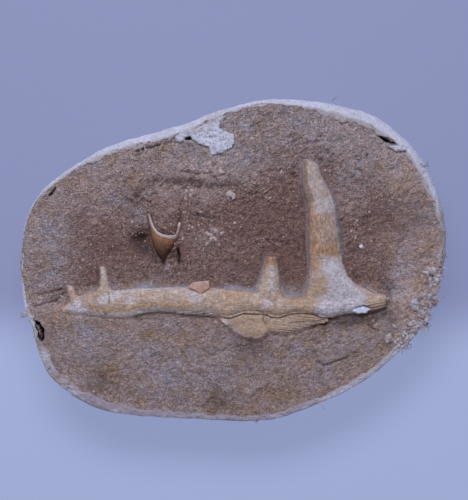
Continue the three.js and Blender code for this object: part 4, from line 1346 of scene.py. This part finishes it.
def plaster_jacket():
    """The jacket: a dish of rings round the block's edge, rough at the rim and flat at the foot."""
    edge = block_edge(JACKET_POINTS)
    ahead = np.roll(edge, -1, axis=0) - np.roll(edge, 1, axis=0)
    out = np.stack([ahead[:, 1], -ahead[:, 0]], axis=1) / np.hypot(ahead[:, 0], ahead[:, 1])[:, None]
    bm = ring_stack(len(FLANK_LEVELS) + len(RIM_SHARES) + len(INNER_LEVELS))
    points = np.empty((len(bm.verts), 3))
    inward = np.empty(len(bm.verts))
    normal = np.empty((len(bm.verts), 2))
    for index, vert in enumerate(bm.verts):
        step = round(math.atan2(vert.co.y, vert.co.x) / (2 * math.pi) * JACKET_POINTS) % JACKET_POINTS
        level = round(vert.co.z)
        height, inset = jacket_profile(level, edge[step, 2], edge[step, 1])
        points[index] = (*(edge[step, :2] - out[step] * inset), height)
        normal[index] = out[step]
        inward[index] = np.clip((level - len(FLANK_LEVELS)) / (len(RIM_SHARES) - 1), 0, 1)
    x, y, z = points.T
    flat = points * FLAT
    crumbly = spots(x, y, CRUMBLED)
    on_rim = smooth(z, 25, 27)
    side = layered(points, (0.55, 13), (0.25, 3.5)) + 0.5 * crumbly * rough(points, 1.6)
    torn = layered(flat, (1.3, 7, 9), (1.1, 2.4, 5)) * (1 - 0.6 * smooth(-y, 35, 55))
    torn -= 1.3 * spots(x, y, WIDENED_RIM)
    for line, hole in zip(DARKEST_GAPS, RIM_HOLE_WIDTHS):
        torn += hole * smooth(2.2 - from_line(x, y, line), 0, 1.4)
    lumps = layered(flat, (0.4, 8), (0.4, 2), (0.25, 0.9)) + 0.6 * crumbly * rough(flat, 1.3)
    points[:, :2] += normal * (smooth(z, 0.5, 4) * side + inward * torn)[:, None]
    points[:, 2] += on_rim * (lumps - 0.35 * inward)
    placed(bm, points)
    bmesh.ops.recalc_face_normals(bm, faces=bm.faces)
    made = piece(bm, "plaster_jacket_shell", PLASTER, ["plaster_jacket"], jacket_masks)
    for polygon in made.data.polygons:
        if len(polygon.vertices) == JACKET_POINTS:
            polygon.use_smooth = False


def jacket_masks(points):
    """Where sand and ochre have stained the jacket, and where painted shade darkens its lower rim and
    blackens a dark gap.
    """
    x, y, z = points.T
    uneven = layered(points, (1, 5), (0.5, 1.6))
    inner = past_rim_line(x, y)
    dusted = (1 - smooth(inner + 0.9 * uneven, -0.2, 1.1)) * smooth(z, 24, 26.5)
    sanded = np.maximum(spots(x, y, SANDED_RIM), 0.5 * smooth(-y, 25, 50))
    # Painted shade on the rim towards the bottom of the block
    lower_rim_shade = 0.9 * smooth(-y, 50, 60) * (1 - smooth(x, 20, 42)) + 0.35 * smooth(-y, 25, 45)
    in_gap = (inner < 1.2) * (z > ROCK_FLOOR) * (1 - smooth(from_dark_gap(x, y), 2.4, 3.2))
    return {
        "sand": 0.85 * dusted + sanded * (0.65 + 0.8 * uneven) + 0.25 * smooth(uneven, 0.2, 0.6),
        "ochre": spots(x, y, OCHRE_RIM) * (0.45 + 1.6 * uneven),
        "gap_shade": smooth(26 - z, 0, 1) * in_gap,
        "lower_rim_shade": lower_rim_shade * (0.85 + 0.6 * uneven),
    }


def plaster_piece(node_name, name, bumps, spread=NO_SPREAD, shift=NO_SHIFT):
    """Plaster lying on the rock, from its CAD solid, made rough and spread a little."""
    bm = spread_out(even_mesh(node_copy(node_name), 0.3, 1), spread, shift)
    pushed(bm, bumps * layered(places(bm), (0.5, 3.5), (0.45, 1.4), (0.2, 0.7)))
    piece(bm, name, PLASTER, [node_name], patch_masks)


def patch_masks(points):
    """Where the plaster patch is stained and porous."""
    x, y, _ = points.T
    uneven = layered(points, (1, 4), (0.5, 1.2))
    return {
        "sand": 0.4 * smooth(y + 3 * uneven - 0.3 * x, 56, 62) + 0.25 * smooth(uneven, 0.15, 0.5),
        "ochre": 0.5 * spots(x, y, PATCH_OCHRE) * (0.5 + uneven),
        "porous": 0.8 * smooth(57 - y, 0, 3) * smooth(x, -21, -16) * smooth(uneven, -0.6, -0.1),
    }


# Loose chips, crumbs and fibres


def height_at(surface, x, y):
    """Height of the rock under a place, in mm, or nothing past its edge."""
    hit = surface.ray_cast(Vector((x * MM, y * MM, 0.05)), Vector((0, 0, -1)))[0]
    return None if hit is None else hit.z / MM


def scattered(name, finish, clusters, seed, surface, flatness):
    """Small angular lumps in clusters, each of twenty faces and with a tone of its own."""
    dice = random.Random(seed)
    bm = bmesh.new()
    tones = []
    for centre_x, centre_y, reach, count, largest, *known_tone in clusters:
        for _ in range(count):
            x = dice.gauss(centre_x, reach / 2)
            y = dice.gauss(centre_y, reach / 2)
            size = largest * dice.uniform(*LUMP_SIZES) / 2
            ground = height_at(surface, x, y)
            past_rock = past_rim_line(x, y)
            in_gap = from_dark_gap(x, y) < 0.8 * size + 0.7
            if in_gap or past_rock > LAST_CRUMB or (past_rock < 0 and ground is None):
                continue
            level = ground if past_rock < 0 else RIM - 0.1
            turn = Matrix.Rotation(dice.uniform(0, 6.28), 4, "Z")
            tilt = Matrix.Rotation(dice.uniform(*LUMP_TILTS), 4, "X")
            length = size * dice.uniform(*LUMP_LENGTHS)
            width = size * dice.uniform(*LUMP_WIDTHS)
            place = Matrix.Translation((x, y, level + 0.25 * size * flatness))
            matrix = place @ turn @ tilt @ Matrix.Diagonal((length, width, size * flatness, 1))
            lump = bmesh.ops.create_icosphere(bm, subdivisions=1, radius=1, matrix=matrix)["verts"]
            tones += (known_tone or [dice.random()]) * len(lump)
            for vert in lump:
                vert.co += (vert.co - Vector((x, y, level))) * dice.uniform(*LUMP_CORNERS)
    bmesh.ops.scale(bm, vec=(MM, MM, MM), verts=bm.verts)
    piece(bm, name, finish, masks=lambda points: {"tone": tones}, flat_normals=True)


def grain_clusters(tree):
    """Loose grains over the whole face, most of them where the rock is roughest."""
    dice = random.Random(11)
    clusters = []
    while len(clusters) < GRAIN_COUNT:
        x, y = (dice.uniform(-half, half) for half in GRAIN_FIELD)
        share = GRAIN_LEAST + (1 - GRAIN_LEAST) * spots(x, y, ROUGHEST)
        on_rock = past_rim_line(x, y) < -0.6
        if on_rock and dice.random() < share and tree.find((x * MM, y * MM, 0))[2] > 1.2 * MM:
            clusters.append((x, y, 0.2, 1, dice.choice(GRAIN_SIZES)))
    return clusters


def pebble(surface):
    """The round white grain right of the front fang."""
    x, y, radius = PEBBLE
    bm = bmesh.new()
    place = Matrix.Translation((x, y, height_at(surface, x, y) + 0.5 * radius))
    bmesh.ops.create_icosphere(bm, subdivisions=3, radius=radius, matrix=place)
    bmesh.ops.scale(bm, vec=(MM, MM, MM), verts=bm.verts)
    pushed(bm, 0.12 * rough(places(bm), 0.8))
    piece(bm, "white_pebble", putty_finish())


def rim_fibres():
    """Burlap fibres that stick out of the crumbled rim, each a short bent thread."""
    dice = random.Random(7)
    threads = bpy.data.curves.new("rim_fibres", "CURVE")
    threads.dimensions = "3D"
    threads.bevel_depth = FIBRE_RADIUS * MM
    threads.bevel_resolution = 1
    for centre_x, centre_y, reach, count in FIBRE_CLUSTERS:
        for _ in range(count):
            start = Vector((dice.gauss(centre_x, reach / 3), dice.gauss(centre_y, reach / 2), RIM - 0.6))
            heading = math.atan2(start.y, start.x) + dice.uniform(-1, 1)
            length = dice.uniform(*FIBRE_LENGTHS)
            thread = threads.splines.new("POLY")
            thread.points.add(FIBRE_STEPS)
            for step, point in enumerate(thread.points):
                ahead = Vector((math.cos(heading), math.sin(heading), FIBRE_RISE))
                heading += dice.uniform(-0.4, 0.4)
                point.co = (*((start + ahead * (length * step / FIBRE_STEPS - 1)) * MM), 1)
    shape = bpy.data.objects.new("rim_fibres", threads)
    bpy.context.collection.objects.link(shape)
    mesh = bpy.data.meshes.new_from_object(shape.evaluated_get(bpy.context.evaluated_depsgraph_get()))
    bpy.data.objects.remove(shape)
    bm = bmesh.new()
    bm.from_mesh(mesh)
    piece(bm, "burlap_fibres", fibre_finish())


# Stage


def floor():
    bm = bmesh.new()
    bmesh.ops.create_grid(bm, x_segments=1, y_segments=1, size=FLOOR_HALF)
    mesh = bpy.data.meshes.new("floor")
    bm.to_mesh(mesh)
    bm.free()
    mesh.materials.append(floor_finish())
    ground = bpy.data.objects.new("floor", mesh)
    bpy.context.collection.objects.link(ground)


def key_light():
    """A soft light that faces the middle of the block from beyond the fangs' tips."""
    light = bpy.data.lights.new("key", "AREA")
    light.shape = "RECTANGLE"
    light.size, light.size_y = KEY_SIZE
    light.energy = KEY_POWER
    light.color = COOL_LIGHT
    lamp = bpy.data.objects.new("key", light)
    lamp.location = KEY_PLACE
    lamp.rotation_euler = (-Vector(KEY_PLACE)).to_track_quat("-Z", "Y").to_euler()
    bpy.context.collection.objects.link(lamp)


def studio():
    """A cool even sky, the key light, and a camera that looks straight down."""
    world = bpy.data.worlds.new("studio")
    bpy.context.scene.world = world
    world.use_nodes = True
    sky = world.node_tree.nodes["Background"].inputs
    sky["Color"].default_value = (*COOL_LIGHT, 1)
    sky["Strength"].default_value = SKY_STRENGTH
    key_light()
    bpy.context.scene.view_settings.view_transform = "Standard"
    camera = bpy.data.cameras.new("camera")
    camera.lens = camera.sensor_width * CAMERA_DISTANCE / VIEW_HEIGHT
    camera.clip_start = 0.01
    eye = bpy.data.objects.new("camera", camera)
    eye.location = (CAMERA_PLACE[0] * MM, CAMERA_PLACE[1] * MM, (FACE + CAMERA_DISTANCE) * MM)
    bpy.context.collection.objects.link(eye)
    bpy.context.scene.camera = eye


jaw = whole_jaw()
bones = bone_tree(jaw)
jaw_and_teeth(jaw)
small_bone_chip()
loose_hollow_fang()
white_filler()
rock_top = sandy_rock(bones)
plaster_jacket()
plaster_piece("plaster_patch", "plaster_patch_on_rock", 1.0)
plaster_piece("plaster_flake", "plaster_flake_at_rim", 0.6, FLAKE_LIP_SPREAD, FLAKE_LIP_SHIFT)
chips = CHIP_CLUSTERS + grain_clusters(bones)
chip_tones = crumb_finish("rock_chips", SAND_DUG, SAND_WARM, SAND_PALE)
scattered("rock_chips", chip_tones, chips, 3, rock_top, CHIP_FLATNESS)
crumb_tones = crumb_finish("rim_crumbs", CRUMB_DARK, PLASTER_SAND, CRUMB_PALE)
scattered("rim_crumbs", crumb_tones, CRUMB_CLUSTERS, 5, rock_top, CRUMB_FLATNESS)
pebble(rock_top)
rim_fibres()
floor()
studio()
